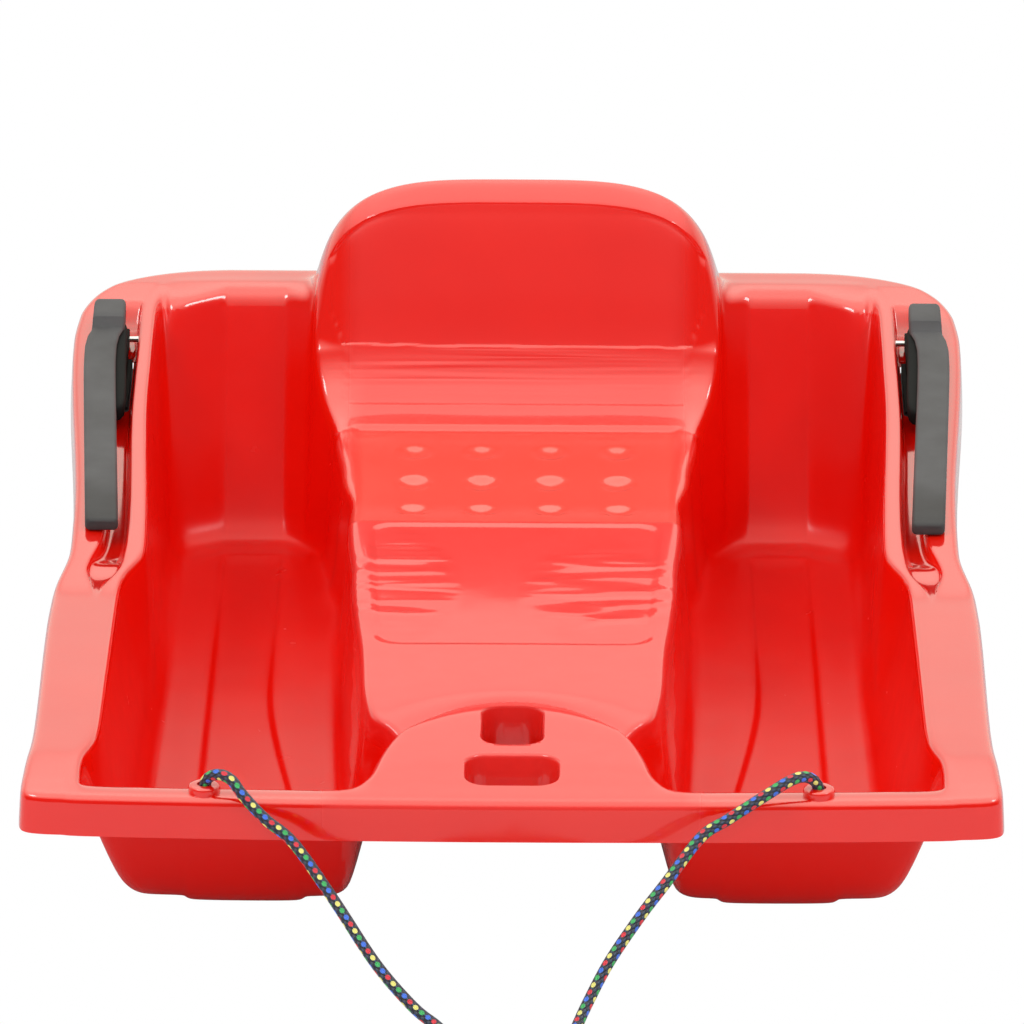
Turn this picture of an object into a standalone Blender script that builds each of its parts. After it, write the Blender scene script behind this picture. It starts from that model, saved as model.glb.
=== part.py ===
# A one-piece moulded plastic snow sled with two brake levers and a tow rope.
#
# The sled stands on its two runners on z = 0 and its front lip faces -Y. All sizes are in metres.
# Distances along the sled are given from the front edge and named "s"; SLED_FRONT turns them into y.

import math

import bmesh
import bpy
from mathutils import Matrix, Vector

# Driving dimensions of the shell
SLED_LENGTH = 0.800
SLED_WIDTH = 0.588
WALL = 0.0035
RUNNER_STEP = 0.004
LIP_HEIGHT = 0.100
FLANGE_HEIGHT = 0.105
SHOULDER_HEIGHT = 0.165
SEAT_HEIGHT = 0.095
BACK_HEIGHT = 0.2435
SKIRT_DEPTH = 0.025
SKIRT_ROLL = 0.0055
SKIRT_DRAFT = 0.001
REAR_CORNER = (0.0935, 0.0705)
FRONT_CORNER = (0.012, 0.012)
FRONT_BOW = 0.008

# Where things lie along the sled: the pommel keeps its place from the front edge, the rest from the rear
LIP_DEPTH = 0.022
WELL_START = 0.070
POMMEL_REAR = 0.172
POMMEL_GROOVE = POMMEL_REAR + 0.025
ARM_START = SLED_LENGTH - 0.463
SEAT_REAR = SLED_LENGTH - 0.303
BACK_FOOT = SLED_LENGTH - 0.133
WELL_REAR = SLED_LENGTH - 0.100
CREST = SLED_LENGTH - 0.035
BACK_STEEP = BACK_FOOT + 0.0555
BACK_TOP = BACK_FOOT + 0.085

# Half widths across the sled
SEAT_HALF_FRONT = 0.0925
SEAT_HALF_REAR = 0.1075
BACK_HALF = 0.1345
ARCH_HALF = BACK_HALF + 0.004
ARCH_DROP = 0.165
POMMEL_HALF = 0.084
RUNNER_INNER = 0.157
RUNNER_INNER_FRONT = 0.127

# The same, measured in from the long edge
EDGE_HALF = SLED_WIDTH / 2
RUNNER_OUTER = EDGE_HALF - 0.1015
WELL_HALF = EDGE_HALF - 0.065
FOOT_ROUND = 0.019
FLANGE_INNER = EDGE_HALF - 0.0475
ARM_INNER = EDGE_HALF - 0.056

# The channel that each brake lever's web stands in
CHANNEL_WIDTH = 0.0135
CHANNEL_OUTER = EDGE_HALF - 0.030
CHANNEL_INNER = CHANNEL_OUTER - CHANNEL_WIDTH
CHANNEL_DEPTH = 0.012
CHANNEL_TIP = 0.0045
CHANNEL_DRAFT = 0.001
CHANNEL_END = SLED_LENGTH - 0.070
SLOT_FRONT = SLED_LENGTH - 0.190
SLOT_REAR = SLED_LENGTH - 0.1125
SLOT_GAP = 0.0010

# Openings moulded through the shell
GRIP_BAR = 0.017
GRIP_HOLE_REAR = 0.157
GRIP_HOLE_LENGTH = (0.047, 0.065)
GRIP_HOLE_WIDTH = (0.055, 0.036)
ROPE_HOLE_X = 0.181
ROPE_HOLE_S = 0.0165
ROPE_RING_RADIUS = 0.0095
ROPE_RING_RISE = 0.0045

# Brake lever
GAP = 0.0003
PIVOT_S = SLED_LENGTH - 0.098
LEVER_FRONT = PIVOT_S - 0.287
LEVER_REAR = PIVOT_S + 0.010
LEVER_NECK = PIVOT_S - 0.017
LEVER_WIDTH = 0.0215
LEVER_THICKNESS = 0.0075
LEVER_HEAD_RISE = 0.0025
HEAD_STEP = 0.005
WEB_THICKNESS = 0.006
WEB_INNER = CHANNEL_OUTER - 0.004 - WEB_THICKNESS
WEB_FRONT = PIVOT_S - 0.120
PIVOT_DROP = 0.0095
PIVOT_ROOM = 0.006
PIN_RADIUS = 0.002
BOSS_RADIUS = 0.0055
CLAW_THICKNESS = 0.002
RIVET_RADIUS = 0.002
CAP_THICKNESS = 0.0015

# Tow rope
ROPE_DIAMETER = 0.007
COIL_CENTRE = (0.0, -0.592)
COIL_INNER = 0.031
COIL_OUTER = 0.046
COIL_HEIGHT = 0.0145
COIL_LOW = 0.0020
TIE_WIDTH = 0.006
TIE_THICKNESS = 0.0012
KNOT_RADIUS = 0.0080

SLED_FRONT = -SLED_LENGTH / 2
FLOOR_INSIDE = RUNNER_STEP + WALL
EDGE_INSET = SKIRT_ROLL + SKIRT_DRAFT
GRID_REAR = SLED_LENGTH - EDGE_INSET

RED = (0.79, 0.012, 0.004, 1.0)
DARK_GREY = (0.16, 0.16, 0.165, 1.0)
STEEL = (0.60, 0.61, 0.62, 1.0)
ROPE_BLACK = (0.02, 0.03, 0.06, 1.0)


def clear_scene():
    for thing in list(bpy.data.objects):
        bpy.data.objects.remove(thing, do_unlink=True)


def material(name, colour, roughness, metallic=0.0):
    made = bpy.data.materials.new(name)
    made.use_nodes = True
    shader = made.node_tree.nodes["Principled BSDF"]
    shader.inputs["Base Color"].default_value = colour
    shader.inputs["Roughness"].default_value = roughness
    shader.inputs["Metallic"].default_value = metallic
    return made


def add_object(name, mesh, look=None):
    made = bpy.data.objects.new(name, mesh)
    bpy.context.scene.collection.objects.link(made)
    if look:
        mesh.materials.append(look)
    return made


def mesh_of(name, points, faces):
    mesh = bpy.data.meshes.new(name)
    mesh.from_pydata([tuple(p) for p in points], [], faces)
    mesh.update()
    return mesh


def outward(mesh):
    work = bmesh.new()
    work.from_mesh(mesh)
    bmesh.ops.recalc_face_normals(work, faces=work.faces)
    work.to_mesh(mesh)
    work.free()


def smoothed(mesh, degrees=32.0):
    mesh.shade_smooth()
    mesh.set_sharp_from_angle(angle=math.radians(degrees))


def hide_as_cutter(cutter):
    cutter.hide_render = True
    cutter.display_type = "WIRE"


def boolean(target, other, operation):
    step = target.modifiers.new(operation.title() + " " + other.name, "BOOLEAN")
    step.operation = operation
    step.solver = "EXACT"
    step.object = other
    hide_as_cutter(other)


def ease(t):
    t = min(max(t, 0.0), 1.0)
    return t * t * (3.0 - 2.0 * t)


def along(s, *keys):
    # The value at s of a smooth run through (s, value) keys
    if s <= keys[0][0]:
        return keys[0][1]
    for (s0, v0), (s1, v1) in zip(keys, keys[1:]):
        if s <= s1:
            return v0 + (v1 - v0) * ease((s - s0) / (s1 - s0))
    return keys[-1][1]


def rounded(before, corner, after, setback, steps):
    # The corner point replaced by a soft round that starts and ends at the setback from it
    first = corner + (before - corner).normalized() * min(setback, 0.4 * (before - corner).length)
    last = corner + (after - corner).normalized() * min(setback, 0.4 * (after - corner).length)
    points = []
    for step in range(steps + 1):
        t = step / steps
        points.append(first * (1 - t) ** 2 + corner * 2 * t * (1 - t) + last * t * t)
    return points


def path_through(corners, steps=2):
    # A profile of (s, z) corners, each with its setback; a setback of 0 keeps the point as it is
    points = []
    spots = [Vector((s, z)) for s, z, _ in corners]
    for index, (_, _, setback) in enumerate(corners):
        if setback == 0 or index in (0, len(corners) - 1):
            points.append(spots[index])
        else:
            points += rounded(spots[index - 1], spots[index], spots[index + 1], setback, steps)
    return points


# Shell: heights and half widths as they run along the sled

def rim_height(s):
    front = along(s, (0.0, LIP_HEIGHT), (0.060, FLANGE_HEIGHT))
    slope = (SHOULDER_HEIGHT - FLANGE_HEIGHT) / (CREST - ARM_START)
    return front + slope * min(max(s - ARM_START, 0.0), CREST - ARM_START)


def hump_height(s):
    plateau = LIP_HEIGHT + 0.0012
    groove = SEAT_HEIGHT - 0.0075
    if s < POMMEL_REAR + 0.006:
        return along(s, (0.03, LIP_HEIGHT), (0.06, plateau), (0.15, plateau),
                     (POMMEL_REAR, LIP_HEIGHT - 0.002), (POMMEL_REAR + 0.006, groove))
    return along(s, (POMMEL_REAR + 0.008, groove), (POMMEL_REAR + 0.018, SEAT_HEIGHT),
                 (SEAT_REAR - 0.003, SEAT_HEIGHT), (SEAT_REAR + 0.015, SEAT_HEIGHT - 0.0055),
                 (SEAT_REAR + 0.055, SEAT_HEIGHT - 0.0085), (BACK_FOOT, SEAT_HEIGHT))


def hump_half(s):
    return along(s, (0.0, POMMEL_HALF), (POMMEL_REAR, POMMEL_HALF), (POMMEL_GROOVE + 0.013, SEAT_HALF_FRONT),
                 (SEAT_REAR - 0.097, 0.5 * (SEAT_HALF_FRONT + SEAT_HALF_REAR) + 0.003),
                 (SEAT_REAR, SEAT_HALF_REAR), (SEAT_REAR + 0.058, SEAT_HALF_REAR),
                 (SEAT_REAR + 0.103, SEAT_HALF_REAR + 0.0065), (BACK_FOOT, SEAT_HALF_REAR + 0.013),
                 (BACK_STEEP, BACK_HALF), (BACK_STEEP + 0.010, BACK_HALF), (BACK_TOP, BACK_HALF - 0.0025),
                 (BACK_TOP + 0.018, BACK_HALF))


def hump_base(s):
    straight = along(s, (0.0, SEAT_HALF_FRONT + 0.007), (SEAT_REAR + 0.003, SEAT_HALF_REAR + 0.003))
    return max(straight, hump_half(s) + 0.005)


def runner_inner(s):
    return along(s, (0.10, RUNNER_INNER_FRONT), (SEAT_REAR - 0.057, RUNNER_INNER))


def runner_step(s):
    front = along(s, (0.045, 0.0), (0.085, RUNNER_STEP))
    rear = along(s, (WELL_REAR - 0.045, 0.0), (WELL_REAR - 0.028, RUNNER_STEP))
    return front - rear


def well_half(s):
    return along(s, (0.05, WELL_HALF + 0.002), (0.20, WELL_HALF + 0.001),
                 (ARM_START + 0.063, WELL_HALF - 0.0005), (SEAT_REAR + 0.103, WELL_HALF + 0.001))


def rim_inner(s):
    return along(s, (0.050, FLANGE_INNER + 0.010), (0.100, FLANGE_INNER), (ARM_START + 0.015, FLANGE_INNER),
                 (ARM_START + 0.058, ARM_INNER - 0.006), (SEAT_REAR + 0.123, ARM_INNER + 0.002))


def rim_outer(s):
    half = EDGE_HALF
    return along(s, (0.03, half - 0.003), (0.10, half - 0.006), (ARM_START - 0.037, half - 0.0038),
                 (ARM_START - 0.002, half - 0.0044), (ARM_START + 0.063, half - 0.0127),
                 (ARM_START + 0.093, half - 0.0125), (BACK_FOOT + 0.023, half),
                 (BACK_FOOT + 0.083, half - 0.004)) - EDGE_INSET


def channel_inner(s):
    front = along(s, (0.06, FLANGE_INNER + 0.019), (0.10, CHANNEL_INNER + 0.008))
    ahead = CHANNEL_INNER + 0.008
    return front - ahead + along(s, (ARM_START, ahead), (ARM_START + 0.041, CHANNEL_INNER - 0.004),
                                 (ARM_START + 0.083, CHANNEL_INNER - 0.005),
                                 (SEAT_REAR + 0.103, CHANNEL_INNER))


def channel_outer(s):
    if s < ARM_START:
        return channel_inner(s) + CHANNEL_TIP
    return along(s, (ARM_START, channel_inner(ARM_START) + CHANNEL_TIP),
                 (ARM_START + 0.031, CHANNEL_OUTER + 0.0045), (ARM_START + 0.081, CHANNEL_OUTER - 0.005),
                 (SEAT_REAR + 0.003, CHANNEL_OUTER - 0.004), (SEAT_REAR + 0.103, CHANNEL_OUTER))


def channel_depth(s):
    return along(s, (ARM_START, 0.0), (ARM_START + 0.029, 0.006), (ARM_START + 0.039, 0.004),
                 (ARM_START + 0.068, CHANNEL_DEPTH), (SEAT_REAR + 0.053, CHANNEL_DEPTH),
                 (SLOT_FRONT, PIVOT_DROP + PIVOT_ROOM),
                 (CHANNEL_END - 0.004, PIVOT_DROP + PIVOT_ROOM), (CHANNEL_END + 0.012, 0.0))


def arch(x):
    # How far the backrest's round top falls below its middle at a distance x from it
    return ARCH_DROP * (1.0 - (1.0 - (x / ARCH_HALF) ** 4) ** 0.25)


# Shell: the rows of its grid, front to rear, for the middle hump, the leg wells and the rim

def grid_rows():
    body = [POMMEL_REAR + a for a in (-0.037, -0.019, 0.0, 0.007, 0.014)]
    body += [POMMEL_GROOVE + (ARM_START - POMMEL_GROOVE) * share for share in (0.0, 33 / 140, 93 / 140)]
    body += [ARM_START + a for a in (0.0, 0.029, 0.041, 0.068, 0.113)]
    body += [SEAT_REAR + a for a in (-0.007, 0.003, 0.015, 0.053, 0.103, 0.143)]
    front_wall = path_through([(EDGE_INSET, LIP_HEIGHT, 0), (LIP_DEPTH, LIP_HEIGHT, 0.0055),
                               (WELL_START, FLOOR_INSIDE, 0.028), (WELL_START + 0.042, FLOOR_INSIDE, 0)])
    front_hump = [EDGE_INSET, 0.018, 0.030, 0.044, 0.060, 0.078, 0.096, 0.115]
    rows = []
    for s, wall in zip(front_hump, front_wall):
        rows.append(dict(hump=(s, hump_height(s)), well=tuple(wall), rim=wall.x))
    for s in sorted(body):
        rows.append(dict(hump=(s, hump_height(s)), well=(s, FLOOR_INSIDE), rim=s))
    rows += rear_rows()
    return rows


def rear_rows():
    top = BACK_HEIGHT
    back = [(BACK_FOOT, SEAT_HEIGHT), (BACK_FOOT + 0.028, SEAT_HEIGHT + 0.013),
            (BACK_STEEP - 0.009, SEAT_HEIGHT + 0.041), (BACK_STEEP, SEAT_HEIGHT + 0.083),
            (BACK_STEEP + 0.010, top - 0.021), (BACK_TOP - 0.011, top - 0.006), (BACK_TOP, top),
            (BACK_TOP + 0.010, top - 0.006), (BACK_TOP + 0.016, top - 0.021),
            (BACK_TOP + 0.025, SHOULDER_HEIGHT + 0.013), (BACK_TOP + 0.031, SHOULDER_HEIGHT + 0.002),
            (GRID_REAR, SHOULDER_HEIGHT)]
    well = path_through([(BACK_FOOT, FLOOR_INSIDE, 0), (WELL_REAR, FLOOR_INSIDE, 0.028),
                         (WELL_REAR + 0.028, SHOULDER_HEIGHT - 0.085, 0),
                         (WELL_REAR + 0.042, SHOULDER_HEIGHT - 0.043, 0),
                         (CREST - 0.007, SHOULDER_HEIGHT, 0.014), (CREST + 0.015, SHOULDER_HEIGHT, 0),
                         (CREST + 0.022, SHOULDER_HEIGHT, 0), (GRID_REAR, SHOULDER_HEIGHT, 0)])
    rim = [BACK_FOOT + a for a in (0.0, 0.015, 0.030, 0.045, 0.060, 0.074, 0.085, 0.095, 0.105, 0.113, 0.120)]
    rim.append(GRID_REAR)
    return [dict(hump=h, well=tuple(w), rim=r) for h, w, r in zip(back, well, rim)]


def pommel_bow(s, share):
    # The pommel's rear edge is an arc, and the groove and the seat's front edge run beside it
    depth = (POMMEL_REAR - LIP_DEPTH) * (1.0 - math.sqrt(1.0 - 0.5 * share * share))
    if s < POMMEL_REAR:
        return depth * max(s - LIP_DEPTH, 0.0) / (POMMEL_REAR - LIP_DEPTH)
    return depth * along(s, (POMMEL_REAR + 0.018, 1.0), (POMMEL_REAR + 0.118, 0.0))


def pommel_narrowing(s):
    if s < POMMEL_REAR:
        b = max(s - LIP_DEPTH, 0.0) / (POMMEL_REAR - LIP_DEPTH)
        return math.sqrt(1.0 - 0.5 * b * b)
    return along(s, (POMMEL_REAR, math.sqrt(0.5)), (POMMEL_REAR + 0.007, 0.80), (POMMEL_GROOVE, 0.96),
                 (POMMEL_GROOVE + 0.033, 1.0))


def hump_point(s, z, share):
    x = share * hump_half(s) * pommel_narrowing(s)
    if z > SEAT_HEIGHT + 0.041:
        floor = SEAT_HEIGHT + 0.041 if s < BACK_TOP else SHOULDER_HEIGHT
        z = floor + (z - floor) * (1.0 - arch(x) / (BACK_HEIGHT - floor))
    return Vector((x, s - pommel_bow(s, share), z))


def corner_mapped(point):
    # The square rear and front corners of the grid, drawn in to round ones, and the bowed front edge
    x, s, z = point
    s += FRONT_BOW * (x / EDGE_HALF) ** 2 * (1.0 - ease(s / 0.12))
    for (wide, long), edge, facing in ((REAR_CORNER, GRID_REAR, 1.0), (FRONT_CORNER, EDGE_INSET, -1.0)):
        across = (x - (rim_outer(s) - wide)) / wide
        ahead = ((s - edge) * facing + long) / long
        if across > 0.0 and ahead > 0.0:
            x -= wide * across * (1.0 - math.sqrt(1.0 - 0.5 * ahead * ahead))
            s -= facing * long * ahead * (1.0 - math.sqrt(1.0 - 0.5 * across * across))
    return Vector((x, s, z))


def hump_shares(s):
    # The columns stand closer to the edge on the backrest, where the arch falls fastest
    seat = (0.0, 0.35, 0.60, 0.74, 0.85, 1.0)
    back = (0.0, 0.45, 0.72, 0.86, 0.94, 1.0)
    return [along(s, (BACK_FOOT, a), (BACK_STEEP, b)) for a, b in zip(seat, back)]


def half_row(row):
    hump_s, hump_z = row["hump"]
    well_s, well_z = row["well"]
    rim_s = row["rim"]
    inner = [hump_point(hump_s, hump_z, share) for share in hump_shares(hump_s)]
    edge = inner.pop()
    base_x = hump_base(hump_s if hump_s > BACK_FOOT else well_s)
    step = runner_step(well_s)
    run_in, run_out, out = runner_inner(well_s), RUNNER_OUTER, well_half(well_s)
    round_off = 0.020 if WELL_REAR - 0.05 < well_s < CREST else 0.0
    base = Vector((base_x, well_s - round_off * 0.5, well_z))
    runner = [Vector((run_in - 0.003, well_s, well_z)), Vector((run_in + 0.001, well_s, well_z - step)),
              Vector((run_out - 0.001, well_s, well_z - step)), Vector((run_out + 0.003, well_s, well_z))]
    rim_z = rim_height(rim_s)
    lip = Vector((rim_inner(rim_s), rim_s, rim_z))
    if well_s < WELL_START:
        out += 0.85 * (lip.x - out) * (well_z - FLOOR_INSIDE) / (rim_z - FLOOR_INSIDE)
    wall_foot = Vector((out, well_s - round_off, well_z))
    ridge = Vector((channel_inner(rim_s), rim_s, rim_z))
    depth = channel_depth(rim_s)
    bottom_in = Vector((channel_inner(rim_s) + CHANNEL_DRAFT, rim_s, rim_z - depth))
    bottom_out = Vector((channel_outer(rim_s) - CHANNEL_DRAFT, rim_s, rim_z - depth))
    strip = Vector((channel_outer(rim_s), rim_s, rim_z))
    border = Vector((rim_outer(rim_s), rim_s, rim_z))
    points = inner + rounded(inner[-1], edge, base, 0.008, 2)
    points += rounded(edge, base, runner[0], 0.010, 1)
    points += runner
    points += rounded(runner[-1], wall_foot, lip, FOOT_ROUND, 3)
    points += rounded(wall_foot, lip, ridge, 0.005, 2)
    points += [ridge, bottom_in, bottom_out, strip, border]
    return points


def settled_on_rim(point, mapped, rim_from):
    # A rim point that a round corner moved takes the rim's height at its new place
    drop = point.z - rim_height(point.y)
    return Vector((mapped.x, mapped.y, rim_height(mapped.y) + drop)) if rim_from else mapped


def shell_grid():
    grid = []
    for row in grid_rows():
        half = half_row(row)
        rim_start = len(half) - 5
        placed = []
        for index, point in enumerate(half):
            placed.append(settled_on_rim(point, corner_mapped(point), index >= rim_start))
        right = [Vector((p.x, SLED_FRONT + p.y, p.z)) for p in placed]
        left = [Vector((-p.x, p.y, p.z)) for p in reversed(right[1:])]
        grid.append(left + right)
    return grid


def skirt_rings(loop):
    # The rolled edge and the skirt below it, hung from the grid's outline
    count = len(loop)
    rings = []
    steps = [(math.sin(a) * SKIRT_ROLL, (1 - math.cos(a)) * SKIRT_ROLL) for a in (math.pi / 4, math.pi / 2)]
    steps.append((SKIRT_ROLL + SKIRT_DRAFT, SKIRT_DEPTH))
    normals = []
    for index, point in enumerate(loop):
        ahead = (loop[(index + 1) % count] - point).to_2d().normalized()
        behind = (point - loop[index - 1]).to_2d().normalized()
        tangent = (ahead + behind).normalized()
        turn = max(tangent.dot(ahead), 0.7)
        normals.append(Vector((tangent.y, -tangent.x, 0.0)) / turn)
    for out, down in steps:
        rings.append([p + n * out - Vector((0, 0, down)) for p, n in zip(loop, normals)])
    return rings


def shell_mesh():
    grid = shell_grid()
    rows, columns = len(grid), len(grid[0])
    points = [p for row in grid for p in row]
    faces = []
    for j in range(rows - 1):
        for i in range(columns - 1):
            a = j * columns + i
            faces.append((a, a + 1, a + columns + 1, a + columns))
    border = list(range(columns))
    border += [j * columns + columns - 1 for j in range(1, rows)]
    border += [(rows - 1) * columns + i for i in range(columns - 2, -1, -1)]
    border += [j * columns for j in range(rows - 2, 0, -1)]
    previous = border
    for ring in skirt_rings([points[i] for i in border]):
        start = len(points)
        points += ring
        current = list(range(start, start + len(ring)))
        for k in range(len(ring)):
            n = (k + 1) % len(ring)
            faces.append((previous[k], current[k], current[n], previous[n]))
        previous = current
    return mesh_of("hull_shell", points, faces)


def rounded_slab(width, length, radius, steps=3):
    # The outline of a rectangle with round corners, about the origin
    outline = []
    for quarter in range(4):
        angle = quarter * math.pi / 2
        cx = (width / 2 - radius) * (1 if quarter in (0, 3) else -1)
        cy = (length / 2 - radius) * (1 if quarter in (0, 1) else -1)
        for step in range(steps + 1):
            turn = angle + step * math.pi / 2 / steps
            outline.append((cx + radius * math.cos(turn), cy + radius * math.sin(turn)))
    return outline


def prism(name, outline, low, high, place):
    # An outline raised from low to high; place turns (across, along, up) into a point
    count = len(outline)
    points = [place(a, b, low) for a, b in outline] + [place(a, b, high) for a, b in outline]
    faces = [tuple(range(count))[::-1], tuple(range(count, 2 * count))]
    for k in range(count):
        n = (k + 1) % count
        faces.append((k, n, count + n, count + k))
    mesh = mesh_of(name, points, faces)
    outward(mesh)
    return mesh


def joined(name, meshes):
    work = bmesh.new()
    for mesh in meshes:
        work.from_mesh(mesh)
    made = bpy.data.meshes.new(name)
    work.to_mesh(made)
    work.free()
    for mesh in meshes:
        bpy.data.meshes.remove(mesh)
    return made


def rod_mesh(name, radius, low, high, centre, segments=14):
    # A round bar along X from low to high, its axis through centre = (y, z)
    circle = [(radius * math.cos(k * math.tau / segments), radius * math.sin(k * math.tau / segments))
              for k in range(segments)]
    return prism(name, circle, low, high, lambda a, b, c: (c, centre[0] + a, centre[1] + b))


def sides():
    return (("left", -1.0), ("right", 1.0))


def mirrored(mesh, side):
    if side < 0:
        mesh.transform(Matrix.Scale(-1.0, 4, Vector((1, 0, 0))))
        mesh.flip_normals()
    return mesh


def grip_hole_meshes():
    # Two openings through the pommel, which leave a bar between them to hold on to
    rear_s = GRIP_HOLE_REAR - GRIP_HOLE_LENGTH[1] / 2
    front_s = GRIP_HOLE_REAR - GRIP_HOLE_LENGTH[1] - GRIP_BAR - GRIP_HOLE_LENGTH[0] / 2
    meshes = []
    for s, width, length in zip((front_s, rear_s), GRIP_HOLE_WIDTH, GRIP_HOLE_LENGTH):
        outline = rounded_slab(width, length, 0.013, 4)
        y = SLED_FRONT + s
        meshes.append(prism("grip hole", outline, SEAT_HEIGHT - 0.03, LIP_HEIGHT + 0.03,
                            lambda a, b, c, y=y: (a, y + b, c)))
    return meshes


def slot_meshes():
    length = SLOT_REAR - SLOT_FRONT
    middle = SLED_FRONT + 0.5 * (SLOT_REAR + SLOT_FRONT)
    width = WEB_THICKNESS + 2 * SLOT_GAP
    centre = WEB_INNER + WEB_THICKNESS / 2
    meshes = []
    for _, side in sides():
        outline = rounded_slab(width, length, 0.002, 2)
        meshes.append(prism("slot", outline, FLANGE_HEIGHT, SHOULDER_HEIGHT,
                            lambda a, b, c, side=side: (side * centre + a, middle + b, c)))
    return meshes


def pivot_centre():
    return (SLED_FRONT + PIVOT_S, rim_height(PIVOT_S) - PIVOT_DROP)


def pin_bore_meshes():
    meshes = []
    for _, side in sides():
        meshes.append(mirrored(rod_mesh("bore", PIN_RADIUS + GAP, CHANNEL_INNER - 0.006,
                                        CHANNEL_OUTER + 0.006, pivot_centre()), side))
    return meshes


def circle_outline(radius, segments):
    return [(radius * math.cos(k * math.tau / segments), radius * math.sin(k * math.tau / segments))
            for k in range(segments)]


def rope_ring_meshes():
    # Raised round collars on the lip, round the rope's holes
    meshes = []
    for _, side in sides():
        def place(a, b, c, side=side):
            return (side * ROPE_HOLE_X + a, SLED_FRONT + ROPE_HOLE_S + b, c)
        meshes.append(prism("ring", circle_outline(ROPE_RING_RADIUS, 20), LIP_HEIGHT - 0.0075,
                            LIP_HEIGHT + ROPE_RING_RISE, place))
    return meshes


def rope_hole_meshes():
    meshes = []
    for _, side in sides():
        def place(a, b, c, side=side):
            return (side * ROPE_HOLE_X + a, SLED_FRONT + ROPE_HOLE_S + b, c)
        radius = ROPE_DIAMETER / 2 + 0.0008
        meshes.append(prism("rope hole", circle_outline(radius, 16), LIP_HEIGHT - 0.012,
                            LIP_HEIGHT + 0.02, place))
    return meshes


def build_shell(look):
    shell = add_object("hull_shell", shell_mesh(), look)
    smoothed(shell.data)
    skin = shell.modifiers.new("Wall", "SOLIDIFY")
    skin.thickness = WALL
    skin.offset = -1.0
    skin.use_even_offset = True
    boolean(shell, add_object("ring_collars", joined("ring_collars", rope_ring_meshes())), "UNION")
    openings = grip_hole_meshes() + slot_meshes() + pin_bore_meshes() + rope_hole_meshes()
    boolean(shell, add_object("shell_openings", joined("shell_openings", openings)), "DIFFERENCE")
    return shell


# Brake levers

def turned(name, profile, centre, segments=12):
    # A closed (x, radius) profile turned round an axis along X through centre = (y, z)
    points = []
    faces = []
    count = len(profile)
    for k in range(segments):
        angle = k * math.tau / segments
        for x, radius in profile:
            points.append((x, centre[0] + radius * math.cos(angle), centre[1] + radius * math.sin(angle)))
    for k in range(segments):
        n = (k + 1) % segments
        for i in range(count):
            j = (i + 1) % count
            faces.append((k * count + i, k * count + j, n * count + j, n * count + i))
    mesh = mesh_of(name, points, faces)
    work = bmesh.new()
    work.from_mesh(mesh)
    bmesh.ops.remove_doubles(work, verts=work.verts, dist=0.00002)
    bmesh.ops.recalc_face_normals(work, faces=work.faces)
    work.to_mesh(mesh)
    work.free()
    return mesh


def lofted(name, rings):
    count = len(rings[0])
    points = [p for ring in rings for p in ring]
    faces = [tuple(range(count))]
    for j in range(len(rings) - 1):
        for k in range(count):
            n = (k + 1) % count
            faces.append((j * count + k, j * count + n, (j + 1) * count + n, (j + 1) * count + k))
    faces.append(tuple(range((len(rings) - 1) * count, len(rings) * count)))
    mesh = mesh_of(name, points, faces)
    outward(mesh)
    return mesh


def lever_centre(s):
    return along(s, (LEVER_FRONT + 0.005, EDGE_HALF - 0.032), (LEVER_FRONT + 0.085, EDGE_HALF - 0.0285),
                 (PIVOT_S - 0.022, EDGE_HALF - 0.0235), (PIVOT_S + 0.028, EDGE_HALF - 0.0245))


def grip_mesh():
    # The bar that the hand pulls: it lies on the armrest and ends in a narrow domed head
    stations = [(LEVER_FRONT, 0.55, 0.45), (LEVER_FRONT + 0.0015, 0.80, 0.75), (LEVER_FRONT + 0.005, 1.0, 1.0)]
    stations += [(LEVER_FRONT + a, 1.0, 1.0) for a in (0.055, 0.115, 0.175, 0.235)]
    stations += [(s, 1.0, 1.0) for s in (LEVER_NECK - HEAD_STEP, LEVER_NECK)]
    stations += [(s, 1.0, 1.0) for s in (LEVER_NECK + 0.006, LEVER_NECK + 0.014, LEVER_REAR - 0.006)]
    stations += [(LEVER_REAR - 0.002, 0.95, 0.8), (LEVER_REAR, 0.8, 0.5)]
    rings = []
    for s, across, up in stations:
        head = ease((s - LEVER_NECK + HEAD_STEP) / (2 * HEAD_STEP))
        low = rim_height(s) + 0.0005 + 0.0055 * ease((s - LEVER_NECK) / (LEVER_REAR - LEVER_NECK)) ** 2
        high = rim_height(s) + 0.0005 + LEVER_THICKNESS + LEVER_HEAD_RISE * head
        width = (LEVER_WIDTH - 0.0015 * head) * across
        middle = 0.5 * (low + high)
        height = (high - low) * up
        outline = rounded_slab(width, height, 0.35 * height, 2)
        rings.append([(lever_centre(s) + a, SLED_FRONT + s, middle + b) for a, b in outline])
    return lofted("grip", rings)


def web_outline():
    # The web's side view as (along, up) from the pivot: grip, slot, notch for the channel's floor, arm
    front = rim_height(WEB_FRONT) - rim_height(PIVOT_S) + PIVOT_DROP
    outline = [(WEB_FRONT - PIVOT_S, front + 0.003), (WEB_FRONT - PIVOT_S, front - 0.003),
               (-0.068, -0.0226), (-0.028, -0.0386), (-0.001, -0.0656), (0.061, -0.1206), (0.073, -0.1106),
               (0.024, -0.0456), (0.004, -0.0221), (-0.018, -0.0221), (-0.018, -0.0059)]
    for step in range(7):
        angle = math.radians(-125.0 + 125.0 * step / 6)
        outline.append((BOSS_RADIUS * math.cos(angle), BOSS_RADIUS * math.sin(angle)))
    outline += [(BOSS_RADIUS, PIVOT_DROP + 0.0035), (-0.018, PIVOT_DROP + 0.001)]
    return outline


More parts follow.
